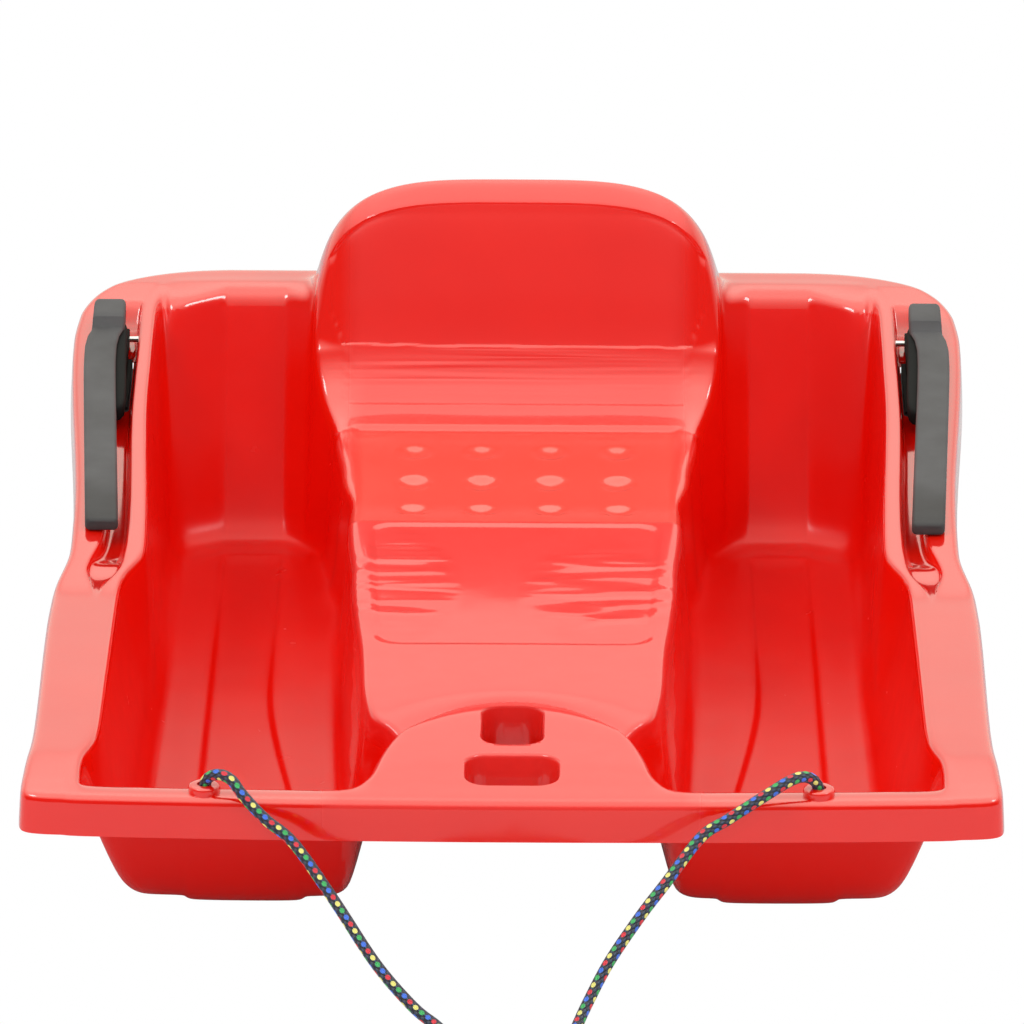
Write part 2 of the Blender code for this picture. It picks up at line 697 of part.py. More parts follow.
def claw_outline():
    # The toothed steel plate's side view as (along, up) from the pivot, its two teeth at the bottom
    return [(0.0340, -0.0925), (0.0440, -0.0815), (0.0700, -0.1065), (0.0790, -0.1180), (0.0795, -0.1290),
            (0.0690, -0.1424), (0.0675, -0.1310), (0.0580, -0.1400), (0.0580, -0.1270), (0.0500, -0.1120)]


def rivet_spots():
    return ((0.0452, -0.0940), (0.0590, -0.1070))


def side_prism(name, outline, low, high):
    y, z = pivot_centre()
    return prism(name, outline, low, high, lambda a, b, c: (c, y + a, z + b))


def pivoted(made, side):
    # The object's origin moves onto the lever's axis
    y, z = pivot_centre()
    place = Vector((side * (WEB_INNER + WEB_THICKNESS / 2), y, z))
    made.data.transform(Matrix.Translation(-place))
    made.location = place


def claw_inner():
    return WEB_INNER + WEB_THICKNESS + GAP


def build_lever(name, side, grey, steel):
    web_outer = WEB_INNER + WEB_THICKNESS
    y, z = pivot_centre()
    lever = add_object("brake_lever_" + name, mirrored(grip_mesh(), side), grey)
    smoothed(lever.data)
    web = add_object("lever_web_" + name,
                     mirrored(side_prism("web", web_outline(), WEB_INNER, web_outer), side))
    boolean(lever, web, "UNION")
    spots = [(0.0, 0.0, PIN_RADIUS)] + [(a, b, RIVET_RADIUS) for a, b in rivet_spots()]
    bores = [rod_mesh("bore", radius + GAP, WEB_INNER - 0.004, web_outer + 0.008, (y + a, z + b))
             for a, b, radius in spots]
    cutter = add_object("lever_bores_" + name, mirrored(joined("bores", bores), side))
    boolean(lever, cutter, "DIFFERENCE")
    pivoted(lever, side)
    claw = add_object("brake_claw_" + name,
                      mirrored(side_prism("claw", claw_outline(), claw_inner(), claw_inner() + CLAW_THICKNESS),
                               side), steel)
    boolean(claw, cutter, "DIFFERENCE")
    head = RIVET_RADIUS + 0.0015
    inner, outer = WEB_INNER - GAP, claw_inner() + CLAW_THICKNESS + GAP
    profile = [(inner - 0.0015, 0.0), (inner - 0.0015, head - 0.0006), (inner - 0.0006, head), (inner, head),
               (inner, RIVET_RADIUS), (outer, RIVET_RADIUS), (outer, head), (outer + 0.0006, head),
               (outer + 0.0015, head - 0.0006), (outer + 0.0015, 0.0)]
    for spot, (a, b) in zip(("upper", "lower"), rivet_spots()):
        mesh = mirrored(turned("rivet", profile, (y + a, z + b)), side)
        smoothed(add_object("claw_rivet_" + spot + "_" + name, mesh, steel).data)


def build_pivot(name, side, steel):
    # The pin crosses the channel through both of its walls; its cap sits in the hollow of the ridge
    centre = pivot_centre()
    head = PIN_RADIUS + 0.0020
    cap_radius = PIN_RADIUS + GAP + 0.0025
    wall_out = corner_mapped(Vector((CHANNEL_OUTER, PIVOT_S - head, 0.0))).x + WALL + GAP
    wall_in = corner_mapped(Vector((CHANNEL_INNER, PIVOT_S + cap_radius, 0.0))).x - WALL - GAP
    cap_in = wall_in - CAP_THICKNESS
    tip = cap_in - 0.0004
    profile = [(tip, 0.0), (tip, PIN_RADIUS - 0.0004), (tip + 0.0004, PIN_RADIUS), (wall_out, PIN_RADIUS),
               (wall_out, head), (wall_out + 0.0012, head), (wall_out + 0.0020, head - 0.0008),
               (wall_out + 0.0020, 0.0)]
    pin = add_object("pivot_pin_" + name, mirrored(turned("pin", profile, centre), side), steel)
    smoothed(pin.data)
    bore = PIN_RADIUS + GAP
    profile = [(cap_in, bore), (cap_in, cap_radius - 0.0008), (cap_in + 0.0006, cap_radius),
               (wall_in, cap_radius), (wall_in, bore)]
    cap = add_object("pin_cap_" + name, mirrored(turned("cap", profile, centre), side), steel)
    smoothed(cap.data)


# Tow rope

def through(route, step):
    # A smooth run through the route's points, with a point about every step
    points = []
    for i in range(len(route) - 1):
        before = route[max(i - 1, 0)]
        after = route[min(i + 2, len(route) - 1)]
        a, b = route[i], route[i + 1]
        pieces = max(1, round((b - a).length / step))
        for k in range(pieces):
            t = k / pieces
            slope_a, slope_b = (b - before) / 2, (after - a) / 2
            points.append(a * (2 * t ** 3 - 3 * t * t + 1) + slope_a * (t ** 3 - 2 * t * t + t)
                          + b * (3 * t * t - 2 * t ** 3) + slope_b * (t ** 3 - t * t))
    points.append(route[-1])
    return points


def rope_route(side):
    start = (side * ROPE_HOLE_X, ROPE_HOLE_S)
    top = LIP_HEIGHT - 0.0078 + GAP
    if side < 0:
        lead = [(-0.1800, 0.0159, 0.1065), (-0.1760, 0.0132, 0.1112), (-0.1700, 0.0092, 0.1130),
                (-0.1640, 0.0052, 0.1110), (-0.1590, 0.0005, 0.1055), (-0.1520, -0.0045, 0.0990),
                (-0.1430, -0.0105, 0.0920), (-0.1270, -0.0200, 0.0815), (-0.1030, -0.0480, 0.0575),
                (-0.0780, -0.0800, 0.0310), (-0.0560, -0.1010, 0.0130), (-0.0420, -0.1130, 0.0062),
                (-0.0360, -0.1250, 0.0042), (-0.0375, -0.1420, 0.0038), (-0.0425, -0.1660, 0.0038)]
    else:
        lead = [(0.1800, 0.0158, 0.1065), (0.1755, 0.0130, 0.1118), (0.1690, 0.0085, 0.1140),
                (0.1610, 0.0030, 0.1125), (0.1520, -0.0020, 0.1085), (0.1400, -0.0075, 0.1025),
                (0.1260, -0.0130, 0.0950), (0.1110, -0.0200, 0.0871), (0.0905, -0.0440, 0.0681),
                (0.0758, -0.0600, 0.0540), (0.0580, -0.0800, 0.0340), (0.0464, -0.0970, 0.0175),
                (0.0390, -0.1130, 0.0070), (0.0365, -0.1270, 0.0046), (0.0380, -0.1430, 0.0045),
                (0.0425, -0.1660, 0.0045)]
    route = [Vector((start[0], SLED_FRONT + start[1], top)),
             Vector((start[0], SLED_FRONT + start[1], LIP_HEIGHT))]
    return route + [Vector((x, SLED_FRONT + s, z)) for x, s, z in lead]


def build_rope(black):
    for name, side in sides():
        line = through(rope_route(side), 2.5 * ROPE_DIAMETER)
        data = bpy.data.curves.new("tow_rope_" + name, "CURVE")
        data.dimensions = "3D"
        data.bevel_depth = ROPE_DIAMETER / 2
        data.bevel_resolution = 2
        data.use_fill_caps = True
        spline = data.splines.new("POLY")
        spline.points.add(len(line) - 1)
        for point, spot in zip(spline.points, line):
            point.co = (spot.x, spot.y, spot.z, 1.0)
        add_object("tow_rope_" + name, data, black)
    for name, side in sides():
        knot = bmesh.new()
        bmesh.ops.create_uvsphere(knot, u_segments=14, v_segments=9, radius=KNOT_RADIUS)
        mesh = bpy.data.meshes.new("knot")
        knot.to_mesh(mesh)
        knot.free()
        place = Vector((side * ROPE_HOLE_X, SLED_FRONT + ROPE_HOLE_S, LIP_HEIGHT - 0.0078 - KNOT_RADIUS))
        mesh.transform(Matrix.Translation(place))
        mesh.shade_smooth()
        add_object("rope_knot_" + name, mesh, black)


def build_coil(black):
    # The rest of the rope lies in turns; the solid is the outer shape of those turns
    low, high = COIL_LOW, COIL_LOW + COIL_HEIGHT
    cut = 0.003
    profile = [(COIL_INNER, low + cut), (COIL_INNER + cut, low), (COIL_OUTER - cut, low),
               (COIL_OUTER, low + cut), (COIL_OUTER, high - cut), (COIL_OUTER - cut, high),
               (COIL_INNER + cut, high), (COIL_INNER, high - cut)]
    segments = 40
    points = []
    faces = []
    count = len(profile)
    for k in range(segments):
        angle = k * math.tau / segments
        for radius, z in profile:
            points.append((COIL_CENTRE[0] + radius * math.cos(angle),
                           COIL_CENTRE[1] + radius * math.sin(angle), z))
    for k in range(segments):
        n = (k + 1) % segments
        for i in range(count):
            j = (i + 1) % count
            faces.append((k * count + i, k * count + j, n * count + j, n * count + i))
    mesh = mesh_of("rope_coil", points, faces)
    outward(mesh)
    smoothed(mesh, 50.0)
    add_object("rope_coil", mesh, black)


def build_tie(black):
    # A band closed round the coil's turns on the side away from the sled
    width = COIL_OUTER - COIL_INNER
    middle = 0.5 * (COIL_OUTER + COIL_INNER)
    rings = []
    for grow in (GAP + 0.0002, GAP + 0.0002 + TIE_THICKNESS):
        for y in (-TIE_WIDTH / 2, TIE_WIDTH / 2):
            outline = rounded_slab(width + 2 * grow + 0.0004, COIL_HEIGHT + 2 * grow, 0.0020, 2)
            rings.append([(COIL_CENTRE[0] + y, COIL_CENTRE[1] - middle + a,
                           COIL_LOW + COIL_HEIGHT / 2 + b) for a, b in outline])
    inner_a, inner_b, outer_a, outer_b = rings
    loop = [inner_a, outer_a, outer_b, inner_b]
    count = len(inner_a)
    points = [p for ring in loop for p in ring]
    faces = []
    for j in range(4):
        m = (j + 1) % 4
        for k in range(count):
            n = (k + 1) % count
            faces.append((j * count + k, j * count + n, m * count + n, m * count + k))
    mesh = mesh_of("coil_tie", points, faces)
    outward(mesh)
    add_object("coil_tie", mesh, black)


def main():
    clear_scene()
    red = material("glossy red plastic", RED, 0.18)
    grey = material("matte dark grey plastic", DARK_GREY, 0.55)
    steel = material("plated steel", STEEL, 0.30, 1.0)
    black = material("black braided cord", ROPE_BLACK, 0.60)
    build_shell(red)
    for name, side in sides():
        build_lever(name, side, grey, steel)
        build_pivot(name, side, steel)
    build_rope(black)
    build_coil(black)
    build_tie(black)


main()
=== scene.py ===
import math
import bmesh
import bpy
from mathutils import Matrix, Vector, noise


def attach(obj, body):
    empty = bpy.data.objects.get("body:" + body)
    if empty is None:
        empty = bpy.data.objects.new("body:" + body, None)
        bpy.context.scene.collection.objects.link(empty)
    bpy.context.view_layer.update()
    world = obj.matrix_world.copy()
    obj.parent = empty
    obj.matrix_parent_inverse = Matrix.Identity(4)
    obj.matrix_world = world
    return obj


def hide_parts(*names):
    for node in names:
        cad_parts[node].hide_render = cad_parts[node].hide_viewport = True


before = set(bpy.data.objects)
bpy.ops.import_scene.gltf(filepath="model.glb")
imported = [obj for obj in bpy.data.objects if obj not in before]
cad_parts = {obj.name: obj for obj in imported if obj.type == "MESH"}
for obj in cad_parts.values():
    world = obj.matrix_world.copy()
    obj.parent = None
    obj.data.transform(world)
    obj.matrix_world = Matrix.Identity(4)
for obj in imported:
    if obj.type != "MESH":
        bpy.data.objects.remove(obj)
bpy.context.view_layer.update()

front = -0.4  # y of the sled's front edge; "s" below is the distance behind it


def ease(t):
    t = min(max(t, 0.0), 1.0)
    return t * t * (3.0 - 2.0 * t)


def along(s, *keys):
    # smooth run through (s, value) keys
    if s <= keys[0][0]:
        return keys[0][1]
    for (s0, v0), (s1, v1) in zip(keys, keys[1:]):
        if s <= s1:
            return v0 + (v1 - v0) * ease((s - s0) / (s1 - s0))
    return keys[-1][1]


def newObject(name, mesh, finish=None):
    made = bpy.data.objects.new(name, mesh)
    bpy.context.scene.collection.objects.link(made)
    if finish:
        mesh.materials.append(finish)
    return made


def meshFrom(name, points, faces):
    mesh = bpy.data.meshes.new(name)
    mesh.from_pydata([tuple(p) for p in points], [], faces)
    mesh.update()
    return mesh


def reworked(mesh, change):
    # the mesh after a change made in bmesh
    work = bmesh.new()
    work.from_mesh(mesh)
    change(work)
    work.to_mesh(mesh)
    work.free()
    return mesh


def turnFacesOut(work):
    bmesh.ops.recalc_face_normals(work, faces=work.faces)


# the camera stands where the photograph's did; angles in degrees
cameraView = {"place": (0.0149, -5.0361, 1.9693), "pitch": 20.0, "turn": 0.19, "roll": 0.27, "lens": 299.18}


def addCamera():
    pitch, turn, roll = (math.radians(cameraView[k]) for k in ("pitch", "turn", "roll"))
    ahead = Vector((-math.sin(turn) * math.cos(pitch), math.cos(turn) * math.cos(pitch), -math.sin(pitch)))
    right = Vector((math.cos(turn), math.sin(turn), 0.0))
    up = right.cross(ahead)
    right, up = (right * math.cos(roll) + up * math.sin(roll), up * math.cos(roll) - right * math.sin(roll))
    lens = bpy.data.cameras.new("photoCamera")
    lens.lens = cameraView["lens"]
    lens.sensor_width = 36.0
    lens.clip_end = 60.0
    camera = newObject("photoCamera", lens)
    turned = Matrix((right, up, -ahead)).transposed().to_4x4()
    camera.matrix_world = Matrix.Translation(cameraView["place"]) @ turned
    bpy.context.scene.camera = camera


addCamera()
print("camera placed")


class Look:
    # a material or the world, and short ways to add its nodes; a value is a number, a colour or another output
    def __init__(self, owner):
        owner.use_nodes = True
        self.owner, self.nodes, self.links = owner, owner.node_tree.nodes, owner.node_tree.links

    def put(self, node, inputs):
        for name, value in inputs.items():
            if isinstance(value, (int, float, tuple)):
                node.inputs[name].default_value = value
            else:
                self.links.new(value, node.inputs[name])
        return node.outputs

    def node(self, kind, inputs, **settings):
        made = self.nodes.new(kind)
        for name, value in settings.items():
            setattr(made, name, value)
        return self.put(made, inputs)

    def surface(self, inputs):
        self.put(self.nodes["Principled BSDF"], inputs)
        return self.owner

    def coords(self, kind="Object"):
        return self.node("ShaderNodeTexCoord", {})[kind]

    def split(self, vector):
        parts = self.node("ShaderNodeSeparateXYZ", {"Vector": vector})
        return [parts[axis] for axis in ("X", "Y", "Z")]

    def maths(self, operation, a, b=0.0):
        return self.node("ShaderNodeMath", {0: a, 1: b}, operation=operation)["Value"]

    def product(self, *values):
        result = values[0]
        for value in values[1:]:
            result = self.maths("MULTIPLY", result, value)
        return result

    def noise(self, scale, detail=2.0, distortion=0.0):
        # a tuple as the scale stretches the noise along each axis
        coords = self.coords()
        if isinstance(scale, tuple):
            coords, scale = self.node("ShaderNodeMapping", {"Vector": coords, "Scale": scale})["Vector"], 1.0
        return self.node("ShaderNodeTexNoise", {"Vector": coords, "Scale": scale, "Detail": detail,
                                                "Distortion": distortion})["Fac"]

    def remap(self, value, low, high, fromLow=0.0, fromHigh=1.0, curve="LINEAR"):
        return self.node("ShaderNodeMapRange", {"Value": value, "From Min": fromLow, "From Max": fromHigh,
                                                "To Min": low, "To Max": high}, interpolation_type=curve)["Result"]

    def nearSpot(self, spot, size):
        # 1 in the middle of an ellipsoid patch and 0 outside it
        shifted = self.node("ShaderNodeMapping", {
            "Vector": self.coords(), "Location": tuple(-a / b for a, b in zip(spot, size)),
            "Scale": tuple(1.0 / b for b in size)})["Vector"]
        far = self.node("ShaderNodeVectorMath", {0: shifted}, operation="LENGTH")["Value"]
        return self.remap(far, 0.0, 1.0, 1.0, 0.45, "SMOOTHSTEP")

    def bump(self, height, strength, distance, normal=None):
        inputs = {"Height": height, "Strength": strength, "Distance": distance}
        if normal:
            inputs["Normal"] = normal
        return self.node("ShaderNodeBump", inputs)["Normal"]

    def ramp(self, value, stops, interpolation="LINEAR"):
        made = self.nodes.new("ShaderNodeValToRGB")
        made.color_ramp.interpolation = interpolation
        elements = made.color_ramp.elements
        while len(elements) < len(stops):
            elements.new(1.0)
        for element, (place, colour) in zip(elements, stops):
            element.position = place
            element.color = (*colour, 1.0)
        return self.put(made, {"Fac": value})["Color"]

    def cloudy(self, field, shades, spread=0.15):
        # two close shades, mixed by a noise
        return self.ramp(field, [(0.5 - spread, shades[0]), (0.5 + spread, shades[1])])

    def mix(self, factor, first, second, blend="MIX"):
        return self.node("ShaderNodeMix", {"Factor": factor, "A": first, "B": second},
                         data_type="RGBA", blend_type=blend)["Result"]

    def mixShaders(self, factor, first, second):
        return self.node("ShaderNodeMixShader", {0: factor, 1: first, 2: second})["Shader"]


# one loop from the left ring to the right one, with the spare length coiled in front
ropeLook = {
    "diameter": 0.007, "slack": 0.0001,  # the drawn rope stays a little inside its diameter
    "holeX": 0.181, "holeS": 0.0165, "rise": (0.0925, 0.1), "around": 16, "step": 0.0035,
    "strands": 8.0, "pitch": 0.0205,  # strands each way round, and the length of one repeat of the colours
    "fleckRows": 4.0, "fleckSize": (0.27, 0.36),
    "flecks": [(0.0, (0.85, 0.80, 0.20)), (0.20, (0.03, 0.42, 0.10)), (0.45, (0.04, 0.16, 0.75)),
               (0.70, (0.72, 0.02, 0.04))],
    "braidGroundAndSheen": [(0.0, (0.003, 0.004, 0.010)), (0.6, (0.012, 0.020, 0.055)), (1.0, (0.02, 0.06, 0.12))],
    "left": [(-0.1800, 0.0159, 0.1065), (-0.1760, 0.0132, 0.1112), (-0.1700, 0.0092, 0.1130),
             (-0.1640, 0.0052, 0.1110), (-0.1590, 0.0005, 0.1055), (-0.1520, -0.0045, 0.0990),
             (-0.1430, -0.0105, 0.0920), (-0.1270, -0.0200, 0.0815), (-0.1030, -0.0480, 0.0575),
             (-0.0780, -0.0800, 0.0310), (-0.0560, -0.1010, 0.0130), (-0.0420, -0.1130, 0.0062),
             (-0.0360, -0.1250, 0.0042), (-0.0375, -0.1420, 0.0038), (-0.0425, -0.1665, 0.0045)],
    "right": [(0.1800, 0.0158, 0.1065), (0.1755, 0.0130, 0.1118), (0.1690, 0.0085, 0.1140),
              (0.1610, 0.0030, 0.1125), (0.1520, -0.0020, 0.1085), (0.1400, -0.0075, 0.1025),
              (0.1260, -0.0130, 0.0950), (0.1110, -0.0200, 0.0871), (0.0905, -0.0440, 0.0681),
              (0.0758, -0.0600, 0.0540), (0.0580, -0.0800, 0.0340), (0.0464, -0.0970, 0.0175),
              (0.0390, -0.1130, 0.0070), (0.0365, -0.1270, 0.0046), (0.0380, -0.1430, 0.0050),
              (0.0425, -0.1665, 0.0078)],
}
# lanes are (radius, height); "slide" is the share of a turn that leads to the next lane
coilLook = {"centre": (0.0, -0.592), "from": 165.0, "to": 1455.0, "perTurn": 30, "slide": 0.16,
            "lanes": [(0.0422, 0.0056), (0.0348, 0.0056), (0.0348, 0.0128), (0.0422, 0.0128)]}


def ropeHole(side):
    return side * ropeLook["holeX"], front + ropeLook["holeS"]


def through(route, step):
    # smooth curve through the route's points
    points = []
    for i in range(len(route) - 1):
        before, after = route[max(i - 1, 0)], route[min(i + 2, len(route) - 1)]
        a, b = route[i], route[i + 1]
        pieces = max(1, round((b - a).length / step))
        for k in range(pieces):
            t = k / pieces
            slopeA, slopeB = (b - before) / 2, (after - a) / 2
            points.append(a * (2 * t ** 3 - 3 * t * t + 1) + slopeA * (t ** 3 - 2 * t * t + t)
                          + b * (3 * t * t - 2 * t ** 3) + slopeB * (t ** 3 - t * t))
    points.append(route[-1])
    return points


def coilPoints():
    # turns beside and on each other
    points = []
    first, last, slide, lanes = (coilLook[k] for k in ("from", "to", "slide", "lanes"))
    x, y = coilLook["centre"]
    steps = round((last - first) / 360 * coilLook["perTurn"])
    for k in range(steps + 1):
        angle = first + (last - first) * k / steps
        turn = (angle - first) / 360.0
        lane = min(int(turn), len(lanes) - 1)
        nextLane = min(lane + 1, len(lanes) - 1)
        share = ease((turn - lane - 1.0 + slide) / slide)
        radius, height = (a * (1 - share) + b * share for a, b in zip(lanes[lane], lanes[nextLane]))
        a = math.radians(angle)
        points.append(Vector((x + radius * math.cos(a), y + radius * math.sin(a), height)))
    return points


def ropeRoute():
    ends = []
    for side, key in ((-1, "left"), (1, "right")):
        x, y = ropeHole(side)
        lead = [Vector((x, y, z)) for z in ropeLook["rise"]]
        ends.append(lead + [Vector((px, front + ps, pz)) for px, ps, pz in ropeLook[key]])
    return ends[0] + coilPoints() + ends[1][::-1]


def tubeMesh(name, points, radius, around):
    # round tube with the turn round it and the distance along it as its map
    tangents = []
    for i in range(len(points)):
        tangents.append((points[min(i + 1, len(points) - 1)] - points[max(i - 1, 0)]).normalized())
    side = tangents[0].orthogonal().normalized()
    rings, travelled, lengths = [], 0.0, []
    for i, (point, tangent) in enumerate(zip(points, tangents)):
        side = (side - tangent * side.dot(tangent)).normalized()
        other = tangent.cross(side)
        if i:
            travelled += (point - points[i - 1]).length
        lengths.append(travelled)
        rings.append([point + (side * math.cos(k * math.tau / around) + other * math.sin(k * math.tau / around))
                      * radius for k in range(around)])
    work = bmesh.new()
    layer = work.loops.layers.uv.new("alongRope")
    verts = [[work.verts.new(p) for p in ring] for ring in rings]
    for i in range(len(rings) - 1):
        for k in range(around):
            n = (k + 1) % around
            face = work.faces.new((verts[i][k], verts[i][n], verts[i + 1][n], verts[i + 1][k]))
            spots = ((k, i), (k + 1, i), (k + 1, i + 1), (k, i + 1))
            for loop, (u, v) in zip(face.loops, spots):
                loop[layer].uv = (u / around, lengths[v])
            face.smooth = True
    work.faces.new(verts[0][::-1])
    work.faces.new(verts[-1])
    mesh = bpy.data.meshes.new(name)
    work.to_mesh(mesh)
    work.free()
    return mesh, travelled


def braidedRope():
    look = Look(bpy.data.materials.new("braidedRope"))
    roundRope, alongRope, _ = look.split(look.node("ShaderNodeUVMap", {}, uv_map="alongRope")["UV"])
    strand = look.product(roundRope, ropeLook["strands"])
    quarter = look.maths("DIVIDE", alongRope, ropeLook["pitch"] / 4)
    turns = [look.product(look.maths(way, strand, quarter), math.pi) for way in ("ADD", "SUBTRACT")]
    ridges = look.product(*[look.maths("ABSOLUTE", look.maths("SINE", turn)) for turn in turns])
    # oval flecks in rows along the rope, yellow, green, blue and red one after another
    row = look.product(roundRope, ropeLook["fleckRows"])
    place = look.maths("ADD", quarter, look.product(look.maths("FLOOR", row), 1.5))
    away = []
    for value, size in zip((row, place), ropeLook["fleckSize"]):
        fromMiddle = look.maths("SUBTRACT", look.maths("FRACT", value), 0.5)
        away.append(look.maths("POWER", look.maths("DIVIDE", fromMiddle, size), 2.0))
    shown = look.maths("LESS_THAN", look.maths("ADD", *away), 1.0)
    number = look.maths("FRACT", look.maths("DIVIDE", look.maths("FLOOR", place), 4.0))
    flecks = look.ramp(number, ropeLook["flecks"], "CONSTANT")
    # the rope's ground is black, and a painted sheen turns the strands' crowns navy and cyan
    return look.surface({"Base Color": look.mix(shown, look.ramp(ridges, ropeLook["braidGroundAndSheen"]), flecks),
                         "Roughness": 0.5, "Sheen Weight": 0.15, "Normal": look.bump(ridges, 0.9, 0.0006)})


def addRope():
    finish = braidedRope()
    points = through(ropeRoute(), ropeLook["step"])
    mesh, length = tubeMesh("towRope", points, ropeLook["diameter"] / 2 - ropeLook["slack"], ropeLook["around"])
    rope = newObject("towRope", mesh, finish)
    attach(rope, "sled")
    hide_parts("tow_rope_left", "tow_rope_right", "rope_coil")
    print("rope laid, metres:", round(length, 3))
    return finish


ropeFinish = addRope()

# the moulded shell; corners are (across, along) radii, and the names from "pommelFront" on are places along the sled
shellSize = {"length": 0.8, "width": 0.588, "wall": 0.0035, "lip": 0.1, "flange": 0.105, "shoulder": 0.165,
             "seat": 0.095, "lowBack": 0.136, "back": 0.2435, "archHalf": 0.1385, "archDrop": 0.165,
             "roll": 0.0055, "skirt": 0.025, "draft": 0.001, "step": 0.004, "runnerOuter": 0.1925, "ridge": 0.2585,
             "rearCorner": (0.0935, 0.0705), "frontCorner": (0.012, 0.012), "bow": 0.008, "bowReach": 0.12,
             "pommelFront": 0.022, "pommelRear": 0.172, "armStart": 0.337, "seatRear": 0.667, "backFoot": 0.7225,
             "crown": 0.752, "crest": 0.765}
inset = shellSize["roll"] + shellSize["draft"]
floorZ = shellSize["step"] + shellSize["wall"]
rearS = shellSize["length"] - inset
pommelRear, armStart, seatRear, backFoot = (shellSize[k] for k in ("pommelRear", "armStart", "seatRear", "backFoot"))
# how far each fold of a cross-section is rounded
folds = {"hump": 0.008, "foot": 0.010, "runner": 0.0016, "well": 0.019, "lip": 0.005, "rim": 0.0014}


def rimHeight(s):
    start = along(s, (0.0, shellSize["lip"]), (0.060, shellSize["flange"]))
    slope = (shellSize["shoulder"] - shellSize["flange"]) / (shellSize["crest"] - armStart)
    return start + slope * min(max(s - armStart, 0.0), shellSize["crest"] - armStart)


def humpHeight(s):
    seat, lip = shellSize["seat"], shellSize["lip"]
    plateau, groove = lip + 0.0012, seat - 0.0075
    if s < 0.178:
        return along(s, (0.03, lip), (0.06, plateau), (0.15, plateau), (pommelRear, lip - 0.002), (0.178, groove))
    return along(s, (0.180, groove), (0.190, seat), (0.4975, seat), (0.5045, seat - 0.0045),
                 (0.515, seat - 0.0062), (0.552, seat - 0.0088), (seatRear, seat))


def humpHalf(s):
    return along(s, (pommelRear, 0.084), (0.21, 0.0925), (0.40, 0.103), (0.497, 0.1075), (0.555, 0.1075),
                 (0.60, 0.114), (seatRear, 0.1205), (backFoot, 0.1345), (0.7325, 0.1345),
                 (shellSize["crown"], 0.132), (0.770, 0.1345))


def humpBase(s):
    return max(along(s, (0.0, 0.0995), (0.50, 0.1105)), humpHalf(s) + 0.005)


def runnerInner(s):
    return along(s, (0.10, 0.127), (0.44, 0.157))


def runnerDrop(s):
    return along(s, (0.045, 0.0), (0.085, 0.004)) - along(s, (0.655, 0.0), (0.672, 0.004))


def wellHalf(s):
    return along(s, (0.05, 0.231), (0.20, 0.230), (0.40, 0.2285), (0.60, 0.230))


def rimInner(s):
    return along(s, (0.050, 0.2565), (0.100, 0.2465), (0.352, 0.2465), (0.395, 0.2320), (0.62, 0.2400))


def rimOuter(s):
    return along(s, (0.03, 0.291), (0.10, 0.288), (0.30, 0.2902), (0.335, 0.2896), (0.40, 0.2813),
                 (0.43, 0.2815), (0.69, 0.294), (0.75, 0.290)) - inset


def channelInner(s):
    return along(s, (0.06, 0.007), (0.10, 0.0)) + along(s, (armStart, shellSize["ridge"]), (0.378, 0.2465),
                                                        (0.42, 0.2455), (0.60, 0.2505))


def channelOuter(s):
    if s < armStart:
        return channelInner(s) + 0.0045
    return along(s, (armStart, shellSize["ridge"] + 0.0045), (0.368, 0.2685), (0.418, 0.2590), (0.50, 0.2600),
                 (0.60, 0.2640))


def channelDepth(s):
    return along(s, (armStart, 0.0), (0.366, 0.006), (0.376, 0.004), (0.405, 0.012), (0.550, 0.012),
                 (0.610, 0.0155), (0.726, 0.0155), (0.742, 0.0))


def rounded(before, corner, after, setback, steps):
    first = corner + (before - corner).normalized() * min(setback, 0.4 * (before - corner).length)
    last = corner + (after - corner).normalized() * min(setback, 0.4 * (after - corner).length)
    return [first * (1 - k / steps) ** 2 + corner * 2 * k / steps * (1 - k / steps) + last * (k / steps) ** 2
            for k in range(steps + 1)]


def folded(spots, setback):
    # every corner between the first and the last spot, slightly rounded
    points = []
    for before, corner, after in zip(spots, spots[1:], spots[2:]):
        points += rounded(before, corner, after, setback, 1)
    return points


def pathThrough(corners, steps=2):
    # (s, z, setback) corners
    points, spots = [], [Vector((s, z)) for s, z, _ in corners]
    for i, (_, _, setback) in enumerate(corners):
        if setback == 0 or i in (0, len(corners) - 1):
            points.append(spots[i])
        else:
            points += rounded(spots[i - 1], spots[i], spots[i + 1], setback, steps)
    return points


# cross-sections of the body stand closer together where its form changes, and evenly on the pan
bodyRows = [0.135, 0.153, 0.166, 0.172, 0.1765, 0.1805, 0.186, 0.192, 0.202, 0.230, 0.255, 0.265, 0.271, 0.277,
            0.283, 0.290, 0.300, 0.318, 0.337, 0.352, 0.366, 0.378, 0.390, 0.405, 0.430, 0.460, 0.482, 0.4925,
            0.4975, 0.501, 0.5045, 0.510]
bodyRows += [0.518 + 0.009 * k for k in range(15)] + [0.655]
backSteps = (6, 7, 12, 8, 4, 2, 2, 3, 3, 1, 1)  # cross-sections between the keys of the back


